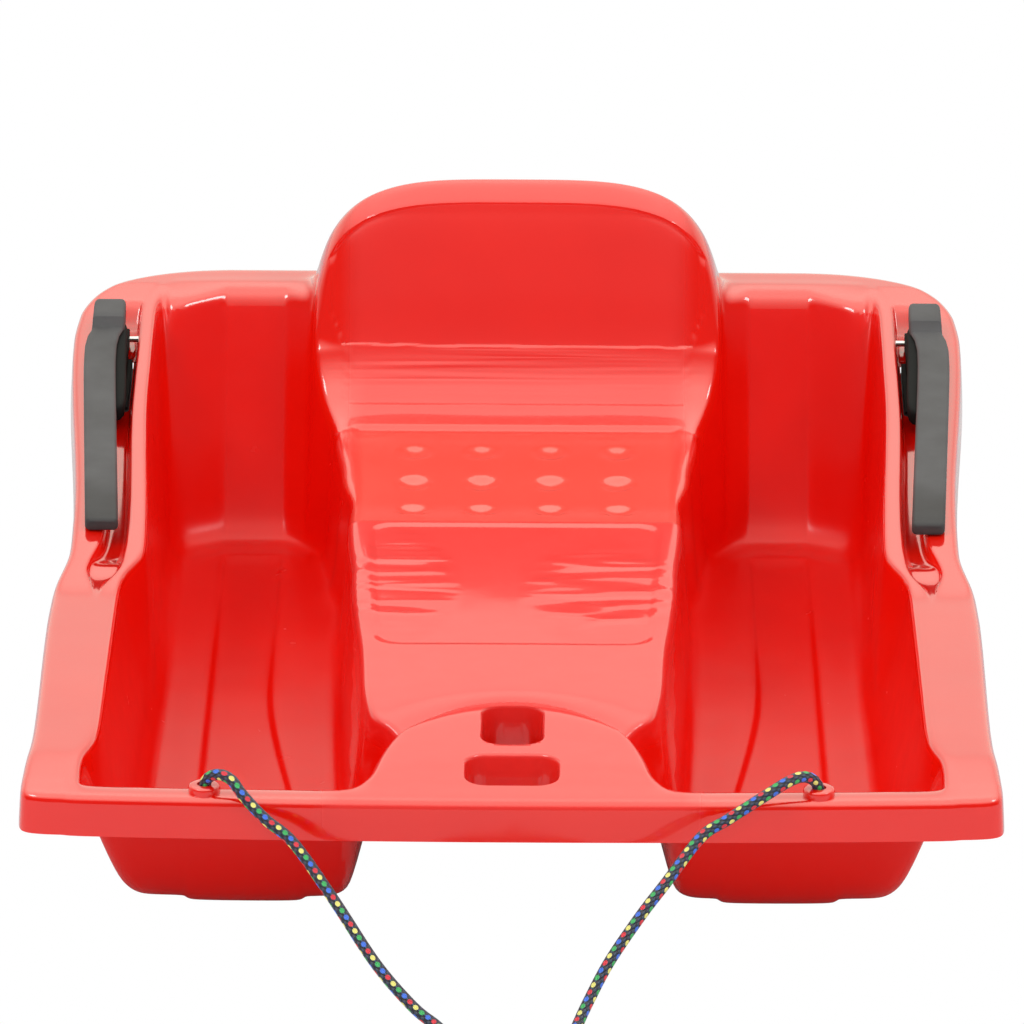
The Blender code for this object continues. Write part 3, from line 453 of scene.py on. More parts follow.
def shellRows():
    # for each cross-section: (s, z) of the hump, (s, z) of the well's floor, and s of the rim
    lip, seat, low, top, shoulder = (shellSize[k] for k in ("lip", "seat", "lowBack", "back", "shoulder"))
    wall = pathThrough([(inset, lip, 0), (0.022, lip, 0.0055), (0.070, floorZ, 0.028), (0.112, floorZ, 0)])
    humps = [inset, 0.018, 0.030, 0.044, 0.060, 0.078, 0.096, 0.115]
    rows = [((s, humpHeight(s)), (w.x, w.y), w.x) for s, w in zip(humps, wall)]
    rows += [((s, humpHeight(s)), (s, floorZ), s) for s in bodyRows]
    back = [(seatRear, seat), (0.695, seat + 0.013), (0.7135, low), (backFoot, 0.178), (0.7325, top - 0.021),
            (0.741, top - 0.006), (shellSize["crown"], top), (0.762, top - 0.006), (0.768, top - 0.021),
            (0.777, shoulder + 0.013), (0.783, shoulder + 0.002), (rearS, shoulder)]
    wall = pathThrough([(seatRear, floorZ, 0), (0.700, floorZ, 0.028), (0.728, 0.080, 0), (0.742, 0.122, 0),
                        (0.758, shoulder, 0.014), (0.780, shoulder, 0), (0.787, shoulder, 0), (rearS, shoulder, 0)])
    rims = [seatRear, 0.682, 0.697, 0.712, 0.727, 0.741, 0.752, 0.762, 0.772, 0.780, 0.787, rearS]
    keys = [(*h, w.x, w.y, r) for h, w, r in zip(back, wall, rims)]
    return rows + [((a, b), (c, d), r) for a, b, c, d, r in between(keys, backSteps)]


def between(keys, counts):
    # extra rows on a smooth curve through the keys
    rows = []
    for i, count in enumerate(counts):
        four = [keys[min(max(i + k, 0), len(keys) - 1)] for k in (-1, 0, 1, 2)]
        for k in range(count):
            t = k / count
            weights = (t * (2 * t - 1 - t * t) / 2, (2 - 5 * t * t + 3 * t ** 3) / 2,
                       t * (1 + 4 * t - 3 * t * t) / 2, t * t * (t - 1) / 2)
            rows.append(tuple(sum(w * key[n] for w, key in zip(weights, four)) for n in range(5)))
    return rows + [keys[-1]]


def pommelReach(s):
    # 0 to 1 along the pommel
    return max(s - shellSize["pommelFront"], 0.0) / (pommelRear - shellSize["pommelFront"])


def pommelBow(s, share):
    # the pommel's rear edge is round, so its sides lie further forward
    depth = (pommelRear - shellSize["pommelFront"]) * (1.0 - math.sqrt(1.0 - 0.5 * share * share))
    return depth * (pommelReach(s) if s < pommelRear else along(s, (0.19, 1.0), (0.29, 0.0)))


def pommelNarrow(s):
    if s < pommelRear:
        return math.sqrt(1.0 - 0.5 * pommelReach(s) ** 2)
    return along(s, (pommelRear, math.sqrt(0.5)), (0.179, 0.80), (0.197, 0.96), (0.23, 1.0))


def archFall(x):
    # how far the backrest's arched edge lies below its crown
    return shellSize["archDrop"] * (1.0 - (1.0 - (x / shellSize["archHalf"]) ** 4) ** 0.25)


def humpPoint(s, z, share):
    x = share * humpHalf(s) * pommelNarrow(s)
    if z > shellSize["lowBack"]:
        low = shellSize["lowBack"] if s < shellSize["crown"] else shellSize["shoulder"]
        z = low + (z - low) * (1.0 - archFall(x) / (shellSize["back"] - low))
    return Vector((x, s - pommelBow(s, share), z))


def cornerMapped(point):
    # bows the front edge and rounds the sled's four corners
    x, s, z = point
    s += shellSize["bow"] * (x / (shellSize["width"] / 2)) ** 2 * (1.0 - ease(s / shellSize["bowReach"]))
    for corner, edge, facing in (("rearCorner", rearS, 1.0), ("frontCorner", inset, -1.0)):
        wide, deep = shellSize[corner]
        across = (x - (rimOuter(s) - wide)) / wide
        ahead = ((s - edge) * facing + deep) / deep
        if across > 0.0 and ahead > 0.0:
            x -= wide * across * (1.0 - math.sqrt(max(1.0 - 0.5 * ahead * ahead, 0.0)))
            s -= facing * deep * ahead * (1.0 - math.sqrt(max(1.0 - 0.5 * across * across, 0.0)))
    return Vector((x, s, z))


# columns across half the hump; they stand closer to the edge on the backrest, where its arch falls fastest
seatShares = [0.0, 0.10, 0.20, 0.30, 0.40, 0.50, 0.60, 0.69, 0.77, 0.85, 1.0]
backShares = [0.0, 0.12, 0.24, 0.36, 0.48, 0.60, 0.71, 0.80, 0.88, 0.945, 1.0]


def halfRow(row):
    # half a cross-section, from the middle of the seat out to the rolled edge
    (humpS, humpZ), (wellS, wellZ), rimS = row
    hump = [humpPoint(humpS, humpZ, along(humpS, (seatRear, a), (backFoot, b)))
            for a, b in zip(seatShares, backShares)]
    edge = hump.pop()
    swing = along(wellS, (0.60, 0.0), (seatRear, 0.020)) - along(wellS, (0.757, 0.0), (0.767, 0.020))
    base = Vector((humpBase(humpS if humpS > seatRear else wellS), wellS - swing * 0.5, wellZ))
    runIn, runOut, runZ = runnerInner(wellS), shellSize["runnerOuter"], wellZ - runnerDrop(wellS)
    runner = [Vector((x, wellS, z)) for x, z in ((runIn - 0.003, wellZ), (runIn + 0.001, runZ),
                                                 (runOut - 0.001, runZ), (runOut + 0.003, wellZ))]
    rim = rimHeight(rimS)
    lip = Vector((rimInner(rimS), rimS, rim))
    out = wellHalf(wellS)
    if wellS < 0.070:  # the front wall follows the side wall's slope
        out += 0.85 * (lip.x - out) * (wellZ - floorZ) / (rim - floorZ)
    foot = Vector((out, wellS - swing, wellZ))
    inside, outside, ditch = channelInner(rimS), channelOuter(rimS), rim - channelDepth(rimS)
    channel = [Vector((x, rimS, z)) for x, z in ((inside, rim), (inside + 0.001, ditch),
                                                 (outside - 0.001, ditch), (outside, rim))]
    border = Vector((rimOuter(rimS), rimS, rim))
    points = hump + rounded(hump[-1], edge, base, folds["hump"], 3) + rounded(edge, base, runner[0], folds["foot"], 2)
    points += folded([base, *runner, foot], folds["runner"])
    points += rounded(runner[-1], foot, lip, folds["well"], 4) + rounded(foot, lip, channel[0], folds["lip"], 3)
    rimStart = len(points)
    points += folded([lip, *channel, border], folds["rim"])
    return points + [channel[-1].lerp(border, 0.55), border], rimStart


def shellGrid():
    grid = []
    for row in shellRows():
        half, rimStart = halfRow(row)
        right = []
        for i, point in enumerate(half):
            moved = cornerMapped(point)
            if i >= rimStart:
                moved.z = rimHeight(moved.y) + point.z - rimHeight(point.y)
            right.append(Vector((moved.x, front + moved.y, moved.z)))
        grid.append([Vector((-p.x, p.y, p.z)) for p in reversed(right[1:])] + right)
    return grid


def skirtRings(loop):
    # the rolled edge and the skirt below it, all round the rim
    count, normals = len(loop), []
    for i, point in enumerate(loop):
        ahead = (loop[(i + 1) % count] - point).to_2d().normalized()
        behind = (point - loop[i - 1]).to_2d().normalized()
        tangent = (ahead + behind).normalized()
        normals.append(Vector((tangent.y, -tangent.x, 0.0)) / max(tangent.dot(ahead), 0.7))
    roll, draft, depth = shellSize["roll"], shellSize["draft"], shellSize["skirt"]
    steps = [(math.sin(a) * roll, (1 - math.cos(a)) * roll) for a in (math.pi / 6, math.pi / 3, math.pi / 2)]
    steps += [(roll + draft * 0.5, (roll + depth) / 2), (roll + draft, depth - 0.0015), (roll + draft, depth)]
    return [[p + n * out - Vector((0, 0, down)) for p, n in zip(loop, normals)] for out, down in steps]


def shellSkin():
    grid = shellGrid()
    rows, columns = len(grid), len(grid[0])
    points = [p for row in grid for p in row]
    faces = [(j * columns + i, j * columns + i + 1, (j + 1) * columns + i + 1, (j + 1) * columns + i)
             for j in range(rows - 1) for i in range(columns - 1)]
    previous = list(range(columns)) + [j * columns + columns - 1 for j in range(1, rows)]
    previous += [(rows - 1) * columns + i for i in range(columns - 2, -1, -1)]
    previous += [j * columns for j in range(rows - 2, 0, -1)]
    for ring in skirtRings([points[i] for i in previous]):
        current = list(range(len(points), len(points) + len(ring)))
        points += ring
        for k in range(len(ring)):
            n = (k + 1) % len(ring)
            faces.append((previous[k], current[k], current[n], previous[n]))
        previous = current
    return meshFrom("shellSkin", points, faces)


# sunk panels of the seat, the pan, the small of the back and the backrest, and the pan's round dimples
panels = {
    "crease": 0.1385, "waviness": 0.0012, "crisp": 0.0013,
    "seat": {"depth": 0.0011, "middle": 0.3835, "halfLength": 0.1085, "corner": 0.016, "edge": 0.0034},
    "pan": {"depth": 0.0016, "edge": 0.0040},
    "lumbar": {"depth": 0.0008, "half": 0.1135, "edge": 0.0022, "foot": 0.1050},
    "back": {"depth": 0.0021, "rim": 0.0095, "edge": 0.0028, "soft": 0.009},
    "dimple": {"depth": 0.0030, "radius": 0.0118, "across": (0.0225, 0.0668), "along": (0.544, 0.590, 0.6365)},
}


def seatSink(x, s):
    look = panels["seat"]
    across = max(x - along(s, (0.27, 0.0865), (0.49, 0.0935)) + look["corner"], 0.0)
    ahead = max(abs(s - look["middle"]) - look["halfLength"] + look["corner"], 0.0)
    return look["depth"] * ease((look["corner"] - math.hypot(across, ahead)) / look["edge"])


def panSink(x, s):
    look = panels["pan"]
    half = along(s, (0.50, 0.1035), (0.56, 0.1040), (seatRear, 0.1075))
    ends = along(s, (0.499, 0.0), (0.507, 1.0)) * (1.0 - ease((s - 0.6705) / 0.0035))
    return look["depth"] * ease((half - x) / look["edge"]) * ends


def dimpleSink(x, s):
    look = panels["dimple"]
    far = [math.hypot(x - a, s - b) / look["radius"] for a in look["across"] for b in look["along"]]
    return look["depth"] * sum(max(1.0 - f * f, 0.0) ** 1.3 for f in far)


def backSink(x, z, crease):
    # the strip at the small of the back ends at the crease, and the backrest's panel begins there
    lumbar, back = panels["lumbar"], panels["back"]
    above = ease((z - crease) / panels["crisp"])
    strip = ease((lumbar["half"] - x) / lumbar["edge"]) * ease((z - lumbar["foot"]) / 0.0025)
    half = along(z, (0.136, 0.1165), (0.165, 0.1250))
    soft = back["soft"] * ease((0.105 - x) / 0.06) * ease((z - 0.19) / 0.03)
    archTop = shellSize["back"] - archFall(min(x, 0.1345))
    inside = min(half - x, archTop - z - back["rim"] + 0.3 * soft)
    return lumbar["depth"] * strip * (1.0 - above) + back["depth"] * ease(inside / (back["edge"] + soft)) * above


def pressed(point):
    # how far the moulded panels lie below the plain surface at a point
    x, s, z = abs(point.x), point.y - front, point.z
    if x > 0.13 or s < 0.26 or s > 0.7365 or z < 0.07:
        return 0.0
    if s < 0.4965:
        return seatSink(x, s)
    if s < 0.68:
        return panSink(x, s) + dimpleSink(x, s)
    wave = panels["waviness"] * noise.noise(Vector((point.x * 16.0, 3.1, 0.0)))
    return backSink(x, z, panels["crease"] + wave)


def circle(radius, count):
    return [(radius * math.cos(k * math.tau / count), radius * math.sin(k * math.tau / count)) for k in range(count)]


def oblong(width, length, radius, steps):
    outline = []
    for quarter in range(4):
        cx = (width / 2 - radius) * (1 if quarter in (0, 3) else -1)
        cy = (length / 2 - radius) * (1 if quarter in (0, 1) else -1)
        for step in range(steps + 1):
            turn = (quarter + step / steps) * math.pi / 2
            outline.append((cx + radius * math.cos(turn), cy + radius * math.sin(turn)))
    return outline


def loftMesh(name, rings):
    count = len(rings[0])
    points = [p for ring in rings for p in ring]
    faces = [tuple(range(count)), tuple(range((len(rings) - 1) * count, len(rings) * count))]
    faces += [(j * count + k, j * count + (k + 1) % count, (j + 1) * count + (k + 1) % count, (j + 1) * count + k)
              for j in range(len(rings) - 1) for k in range(count)]
    return reworked(meshFrom(name, points, faces), turnFacesOut)


def prismMesh(name, outline, low, high, place):
    return loftMesh(name, [[place(a, b, level) for a, b in outline] for level in (low, high)])


def turnedMesh(name, profile, centre, around):
    # (radius, z) profile turned round an upright axis
    points = [(centre[0] + r * math.cos(k * math.tau / around), centre[1] + r * math.sin(k * math.tau / around), z)
              for k in range(around) for r, z in profile]
    count = len(profile)
    faces = [(k * count + i, k * count + i + 1, ((k + 1) % around) * count + i + 1, ((k + 1) % around) * count + i)
             for k in range(around) for i in range(count - 1)]

    def closeEnds(work):
        bmesh.ops.remove_doubles(work, verts=work.verts, dist=0.00002)
        turnFacesOut(work)

    return reworked(meshFrom(name, points, faces), closeEnds)


def joinedMesh(name, meshes):
    work = bmesh.new()
    for mesh in meshes:
        work.from_mesh(mesh)
    made = bpy.data.meshes.new(name)
    work.to_mesh(made)
    work.free()
    return made


def applied(thing, name):
    # the object with its modifiers worked out, as a plain mesh
    graph = bpy.context.evaluated_depsgraph_get()
    graph.update()
    mesh = bpy.data.meshes.new_from_object(thing.evaluated_get(graph))
    mesh.name = name
    return mesh


def carved(draft, name, steps, sharpAngle):
    # the draft after its (mesh, operation) steps, as a smooth shaded mesh
    tools = []
    for mesh, operation in steps:
        tools.append(newObject(mesh.name, mesh))
        step = draft.modifiers.new(operation, "BOOLEAN")
        step.operation = operation
        step.solver = "EXACT"
        step.object = tools[-1]
    mesh = applied(draft, name)
    for thing in tools + [draft]:
        bpy.data.objects.remove(thing)
    mesh.materials.clear()
    mesh.shade_smooth()
    mesh.set_sharp_from_angle(angle=math.radians(sharpAngle))
    return mesh


# two hand holes, front and rear, with a bar between them; the brakes' slots and pins; the rope's rings
holes = {"bar": 0.017, "rear": 0.157, "length": (0.047, 0.065), "width": (0.055, 0.036), "corner": 0.013,
         "mouth": 0.0032, "mouthRise": 0.0016, "skirtWall": 0.0033, "skirtSink": 0.0015, "skirtEnd": 0.0733,
         "slotFront": 0.610, "slotRear": 0.6875, "slotMiddle": 0.257, "slotWidth": 0.008, "slotCorner": 0.002,
         "pivotS": 0.702, "pivotDrop": 0.0095, "pinRadius": 0.002, "pinGap": 0.0003, "boreReach": (0.2445, 0.270),
         "ropeGap": 0.0008, "ringRadius": 0.0095, "ringRise": 0.0045, "ringFoot": 0.0075, "ringRound": 0.002}
pivot = (front + holes["pivotS"], rimHeight(holes["pivotS"]) - holes["pivotDrop"])


def handHoles():
    # (middle, width, length) of each
    rear = holes["rear"] - holes["length"][1] / 2
    ahead = holes["rear"] - holes["length"][1] - holes["bar"] - holes["length"][0] / 2
    return list(zip((ahead, rear), holes["width"], holes["length"]))


def upright(x, y):
    return lambda a, b, z: (x + a, y + b, z)


def beside(a, b, x):
    # a place in the brakes' plane, from the pivot
    return x, pivot[0] + a, pivot[1] + b


def shellCutters():
    # a hand hole's mouth is rounded, and the hole narrows a little below it so that the mould comes out
    mouth, top = holes["mouth"], shellSize["lip"] + holes["mouthRise"]
    levels = [(-0.0012, 0.06), (-0.0008, 0.085)]
    levels += [(mouth * (1 - math.cos(a)), top - mouth * (1 - math.sin(a))) for a in (0.0, 0.35, 0.7, 1.0, 1.3, 1.5)]
    levels += [(mouth + 0.0002, 0.13)]
    meshes = []
    for s, width, length in handHoles():
        meshes.append(loftMesh("gripHole", [
            [(a, front + s + b, z) for a, b in oblong(width + 2 * grow, length + 2 * grow, holes["corner"] + grow, 7)]
            for grow, z in levels]))
    slot = oblong(holes["slotWidth"], holes["slotRear"] - holes["slotFront"], holes["slotCorner"], 3)
    slotY = front + (holes["slotFront"] + holes["slotRear"]) / 2
    bore = circle(holes["pinRadius"] + holes["pinGap"], 20)
    ropeBore = circle(ropeLook["diameter"] / 2 + holes["ropeGap"], 24)
    for side in (-1, 1):
        low, high = sorted(side * x for x in holes["boreReach"])
        meshes.append(prismMesh("slot", slot, 0.105, 0.165, upright(side * holes["slotMiddle"], slotY)))
        meshes.append(prismMesh("bore", bore, low, high, beside))
        meshes.append(prismMesh("ropeHole", ropeBore, 0.088, 0.12, upright(*ropeHole(side))))
    return joinedMesh("shellCutters", meshes)


def ringCollars():
    # the rope's moulded rings, with a rounded top, and a skirt under each hand hole
    lip, radius, bend = shellSize["lip"], holes["ringRadius"], holes["ringRound"]
    shoulder = lip + holes["ringRise"] - bend
    profile = [(0.0, lip - holes["ringFoot"]), (radius, lip - holes["ringFoot"]), (radius, shoulder)]
    profile += [(radius - bend + bend * math.cos(a), shoulder + bend * math.sin(a)) for a in (0.5, 1.0, 1.57)]
    profile += [(0.0, lip + holes["ringRise"])]
    meshes = [turnedMesh("collar", profile, ropeHole(side), 28) for side in (-1, 1)]
    wall = holes["skirtWall"]
    for s, width, length in handHoles():
        outline = oblong(width + 2 * wall, length + 2 * wall, holes["corner"] + wall, 7)
        top = lip - holes["skirtSink"]
        meshes.append(prismMesh("holeSkirt", outline, holes["skirtEnd"], top, upright(0.0, front + s)))
    return joinedMesh("ringCollars", meshes)


# relief is (noise scale, detail, strength, depth); the masks of the scuffed seat and of the pan's painted sheen are
# places in metres
redLook = {
    "gloss": ((0.79, 0.005, 0.001), (0.85, 0.009, 0.002)), "satinShaded": ((0.76, 0.004, 0.001), (0.82, 0.007, 0.002)),
    "paintedSheen": (0.84, 0.055, 0.028, 1.0), "roughness": (0.12, 0.56), "coatRoughness": (0.05, 0.09),
    "satinRoughness": (0.20, 0.30), "relief": ((14.0, 1.0, 0.35, 0.0012), (900.0, 2.0, 0.05, 0.0002)),
    "seatSide": (0.100, 0.118), "seatTop": (0.070, 0.084), "panFront": (0.090, 0.108), "panRear": (0.262, 0.282),
    "rippleDepth": 0.0021,
    "ripples": [
        {"noise": ((11.0, 50.0, 50.0), 0.5, 0.6), "spot": (-0.070, -0.018, 0.095), "size": (0.040, 0.105, 0.05),
         "share": 1.5},
        {"noise": ((11.0, 50.0, 50.0), 0.5, 0.6), "spot": (0.056, -0.028, 0.095), "size": (0.056, 0.105, 0.05),
         "share": 1.5},
        {"noise": ((5.0, 90.0, 230.0), 1.0, 0.3), "spot": (0.0, 0.305, 0.120), "size": (0.14, 0.040, 0.026),
         "share": 0.32}],
}


def mouldedNormal(look, normal=None):
    # slow waves of the cooled plastic and its fine grain
    for scale, detail, strength, depth in redLook["relief"]:
        normal = look.bump(look.noise(scale, detail), strength, depth, normal)
    return normal


def satinRed():
    # the red of the leg wells and the hulls, a little darker than the glossy red as painted shade, and without the
    # clear gloss
    look = Look(bpy.data.materials.new("satinRed"))
    return look.surface({"Base Color": look.cloudy(look.noise(7.0, 3.0), redLook["satinShaded"]),
                         "Roughness": look.remap(look.noise(60.0, 3.0), *redLook["satinRoughness"]),
                         "Normal": mouldedNormal(look), "Specular IOR Level": 0.30})


def glossyRed():
    look = Look(bpy.data.materials.new("glossyRed"))
    x, y, z = look.split(look.coords())
    speckle = look.noise(60.0, 3.0)
    # the seat is scuffed under its gloss, and the pan's sunk panel is made paler as a painted sheen
    scuffAndSheen = look.product(look.remap(look.maths("ABSOLUTE", x), 1.0, 0.0, *redLook["seatSide"]),
                           look.remap(z, 0.0, 1.0, *redLook["seatTop"]), look.remap(speckle, 0.85, 1.0))
    paintedSheen = look.product(look.remap(y, 0.0, 1.0, *redLook["panFront"]),
                          look.remap(y, 1.0, 0.0, *redLook["panRear"]), scuffAndSheen)
    # ripples on the seat in front of the pan, and across the low part of the backrest
    height = 0.0
    for ripple in redLook["ripples"]:
        mask = look.nearSpot(ripple["spot"], ripple["size"])
        height = look.maths("ADD", look.product(look.noise(*ripple["noise"]), mask, ripple["share"]), height)
    normal = mouldedNormal(look, look.bump(height, 1.0, redLook["rippleDepth"]))
    plain = look.cloudy(look.noise(7.0, 3.0), redLook["gloss"])
    return look.surface({"Base Color": look.mix(paintedSheen, plain, redLook["paintedSheen"]), "IOR": 1.5, "Coat Weight": 1.0,
                         "Roughness": look.remap(scuffAndSheen, *redLook["roughness"]),
                         "Coat Roughness": look.remap(speckle, *redLook["coatRoughness"]),
                         "Normal": normal, "Coat Normal": normal})


def inWell(point):
    # true in the leg wells and on the hulls, up to the seat's edge, the rim and the shoulders
    x, s, z = abs(point.x), point.y - front, point.z
    if not (0.100 < x < 0.250 and 0.016 < s < 0.78):
        return False
    underShoulder = z < shellSize["shoulder"] - 0.012
    if x < 0.150:
        besideBack = s > seatRear and x > humpHalf(s) + 0.0015 and underShoulder
        return z < shellSize["seat"] - 0.0105 or besideBack
    return z < rimHeight(s) - 0.006 if x > 0.2 or s < 0.1 else underShoulder


def addShell():
    skin = newObject("shellSkin", shellSkin())
    smooth = skin.modifiers.new("smooth", "SUBSURF")
    smooth.levels = smooth.render_levels = 2
    mesh = applied(skin, "shell")
    bpy.data.objects.remove(skin)
    normals = [v.normal.copy() for v in mesh.vertices]
    for vertex, normal in zip(mesh.vertices, normals):
        vertex.co -= normal * pressed(vertex.co)
    draft = newObject("shellDraft", mesh)
    thick = draft.modifiers.new("thick", "SOLIDIFY")
    thick.thickness = shellSize["wall"]
    thick.offset = -1.0
    thick.use_even_offset = False
    mesh = carved(draft, "shell", [(ringCollars(), "UNION"), (shellCutters(), "DIFFERENCE")], 38)
    mesh.materials.append(glossyRed())
    mesh.materials.append(satinRed())
    for face in mesh.polygons:
        face.material_index = int(inWell(face.center))
    shell = newObject("shell", mesh)
    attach(shell, "sled")
    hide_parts("hull_shell")
    print("shell moulded, faces:", len(mesh.polygons))


addShell()

# a brake lever is a grip bar, a flank inside it painted near black as shade, and the arm that goes down through the
# slot
leverLook = {"front": 0.4148, "rear": 0.7118, "width": 0.021, "thick": 0.0078, "lift": 0.0005,
             "head": 0.0065, "step": (0.6815, 0.6870), "edge": 0.0024, "crown": 0.0007, "nose": 0.0018,
             "boss": (0.2568, 0.260), "arm": (0.254, 0.260), "armEdge": 0.0006,
             "bores": ((0.0, 0.0), (0.0452, -0.0940), (0.0590, -0.1070)), "boreRadius": 0.0023,
             "boreReach": (0.250, 0.268),
             "grey": ((0.068, 0.068, 0.070), (0.098, 0.098, 0.100)),
             "black": ((0.005, 0.006, 0.006), (0.009, 0.010, 0.010))}


def leverMiddle(s):
    # a slow outward sweep, then a quick step back in at the head
    swept = 0.2737 - 0.0011 * (math.sqrt(1.0 + ((0.640 - s) / 0.020) ** 2) + (0.640 - s) / 0.020) * 0.5
    return swept - 0.0040 * ease((s - 0.664) / 0.024)


def gripStations():
    # (s, share of the width, share of the height), closer together at the rounded ends and the head's step
    first, last = leverLook["front"], leverLook["rear"]
    stations = [(first + a, wide, tall) for a, wide, tall in (
        (0.0, 0.82, 0.55), (0.0005, 0.90, 0.74), (0.0014, 0.96, 0.90))]
    stations += [(first + 0.003 + 0.0115 * k, 1.0, 1.0) for k in range(22)]
    stations += [(first + 0.2505 + a, 1.0, 1.0) for a in (0.007, 0.012, 0.0145, 0.0165, 0.0185, 0.0205, 0.023)]
    stations += [(last - a, wide, tall) for a, wide, tall in (
        (0.0193, 1.0, 1.0), (0.0128, 1.0, 1.0), (0.0068, 1.0, 0.99), (0.0033, 0.985, 0.96), (0.0015, 0.95, 0.90),
        (0.0004, 0.88, 0.78), (0.0, 0.80, 0.62))]
    return stations


def gripMesh():
    rings = []
    stepStart, stepEnd = leverLook["step"]
    for s, across, up in gripStations():
        head = ease((s - stepStart) / (stepEnd - stepStart))
        low = rimHeight(s) + leverLook["lift"] + 0.0055 * ease((s - 0.685) / 0.027) ** 2
        high = rimHeight(s) + leverLook["lift"] + leverLook["thick"] + leverLook["head"] * head
        wide, tall = leverLook["width"] * across, (high - low) * up
        bulge = leverLook["nose"] * ease((leverLook["front"] + 0.012 - s) / 0.012)
        ring = []
        for a, b in oblong(wide, tall, min(leverLook["edge"], 0.42 * tall), 4):
            share = 1 - (2 * a / wide) ** 2
            crown = leverLook["crown"] * share if b > 0 else 0.0
            ring.append((leverMiddle(s) + a, front + s - bulge * share, (low + high) / 2 + b + crown))
        rings.append(ring)
    return loftMesh("grip", rings)


def flankMesh():
    # (s, inner side, rise over the rim) along the grip, from the pivot forward
    stations = [(0.5800, 0.2590, 0.0022), (0.5815, 0.2568, 0.0027), (0.5850, 0.2553, 0.0031), (0.592, 0.2546, 0.0034),
                (0.610, 0.2548, 0.0038), (0.630, 0.2556, 0.0042), (0.650, 0.2565, 0.0046), (0.670, 0.2572, 0.0052),
                (0.684, 0.2575, 0.0056), (0.692, 0.2578, 0.0054), (0.6965, 0.2585, 0.0045), (0.6985, 0.2600, 0.0032)]
    rings = []
    for s, inside, rise in stations:
        profile = [(inside + 0.0006, -0.0066), (0.2620, -0.0066), (0.2620, 0.0007), (0.2652, 0.0007), (0.2652, rise),
                   (inside + 0.0022, rise), (inside + 0.0010, rise - 0.0005), (inside + 0.0003, rise - 0.0014),
                   (inside, rise - 0.0026), (inside, -0.0056)]
        rings.append([(x, front + s, rimHeight(s) + up) for x, up in profile])
    return loftMesh("flank", rings)


def bevelSharp(work):
    edges = [e for e in work.edges if len(e.link_faces) == 2 and e.calc_face_angle() > 1.0]
    bmesh.ops.bevel(work, geom=edges, offset=leverLook["armEdge"], segments=2, profile=0.5, affect="EDGES")


def armMeshes():
    # (along, up) from the pivot, in the plane of the brake slot; the boss end is thin, the claw end full
    boss = [(-0.080, -0.0062), (-0.080, -0.0195), (-0.068, -0.0226), (-0.030, -0.0380), (-0.018, -0.0310),
            (-0.018, -0.0059)]
    boss += [(0.0055 * math.cos(math.radians(a)), 0.0055 * math.sin(math.radians(a))) for a in range(-125, 1, 12)]
    boss += [(0.0055, 0.0050), (0.0035, 0.0062), (-0.018, 0.0036)]
    arm = [(-0.088, -0.0168), (-0.088, -0.0192), (-0.068, -0.0226), (-0.028, -0.0386), (-0.001, -0.0656),
           (0.061, -0.1206), (0.067, -0.1196), (0.073, -0.1106), (0.024, -0.0456), (0.004, -0.0221),
           (-0.018, -0.0221), (-0.018, -0.0076)]
    return [reworked(prismMesh("arm", outline, *leverLook[key], beside), bevelSharp)
            for outline, key in ((boss, "boss"), (arm, "arm"))]


def boreMesh():
    bores = []
    for a, b in leverLook["bores"]:
        outline = [(a + p, b + q) for p, q in circle(leverLook["boreRadius"], 20)]
        bores.append(prismMesh("bore", outline, *leverLook["boreReach"], beside))
    return joinedMesh("leverBores", bores)


def grainedGrey():
    look = Look(bpy.data.materials.new("grainedGrey"))
    cloud = look.noise(40.0, 4.0)
    # painted shade: the grip is darker towards its front end
    paintedFrontShade = look.remap(look.split(look.coords())[1], 0.55, 1.0, 0.045, 0.075)
    return look.surface({"Base Color": look.mix(1.0, look.cloudy(cloud, leverLook["grey"], 0.20), paintedFrontShade, "MULTIPLY"),
                         "Roughness": look.remap(cloud, 0.50, 0.62), "Specular IOR Level": 0.3, "IOR": 1.45,
                         "Normal": look.bump(look.noise(1500.0, 2.0), 0.35, 0.00025)})


def dullBlack():
    # painted shade: the arm and flank are near black and duller than the grip, standing in for the shade inside the
    # lever
    look = Look(bpy.data.materials.new("dullBlack"))
    cloud = look.noise(55.0, 4.0)
    return look.surface({"Base Color": look.cloudy(cloud, leverLook["black"], 0.20),
                         "Roughness": look.remap(cloud, 0.60, 0.75), "Specular IOR Level": 0.10,
                         "Normal": look.bump(look.noise(1500.0, 2.0), 0.3, 0.00025)})


# the faces of the flank and arm, which take the near-black painted shade
def belowGrip(point):
    return point.z - rimHeight(point.y - front) < 0.0064 and abs(point.x) < 0.2644 and point.y > 0.165


def addLevers():
    grey, black = grainedGrey(), dullBlack()
    for name, side in (("Left", -1), ("Right", 1)):
        steps = [(mesh, "UNION") for mesh in (flankMesh(), *armMeshes())] + [(boreMesh(), "DIFFERENCE")]
        mesh = carved(newObject("leverDraft", gripMesh()), "brakeLever" + name, steps, 32)
        if side < 0:
            mesh.transform(Matrix.Scale(-1.0, 4, (1.0, 0.0, 0.0)))
            mesh.flip_normals()
        mesh.materials.append(grey)
        mesh.materials.append(black)
        for face in mesh.polygons:
            face.material_index = int(belowGrip(face.center))
        lever = newObject("brakeLever" + name, mesh)
        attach(lever, "brake_" + name.lower())
        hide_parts("brake_lever_" + name.lower())
        print("lever made:", name, len(mesh.polygons))


addLevers()

knotLook = {"scale": 0.0018, "tube": 0.0033, "height": 0.0873, "steps": 96, "around": 14}


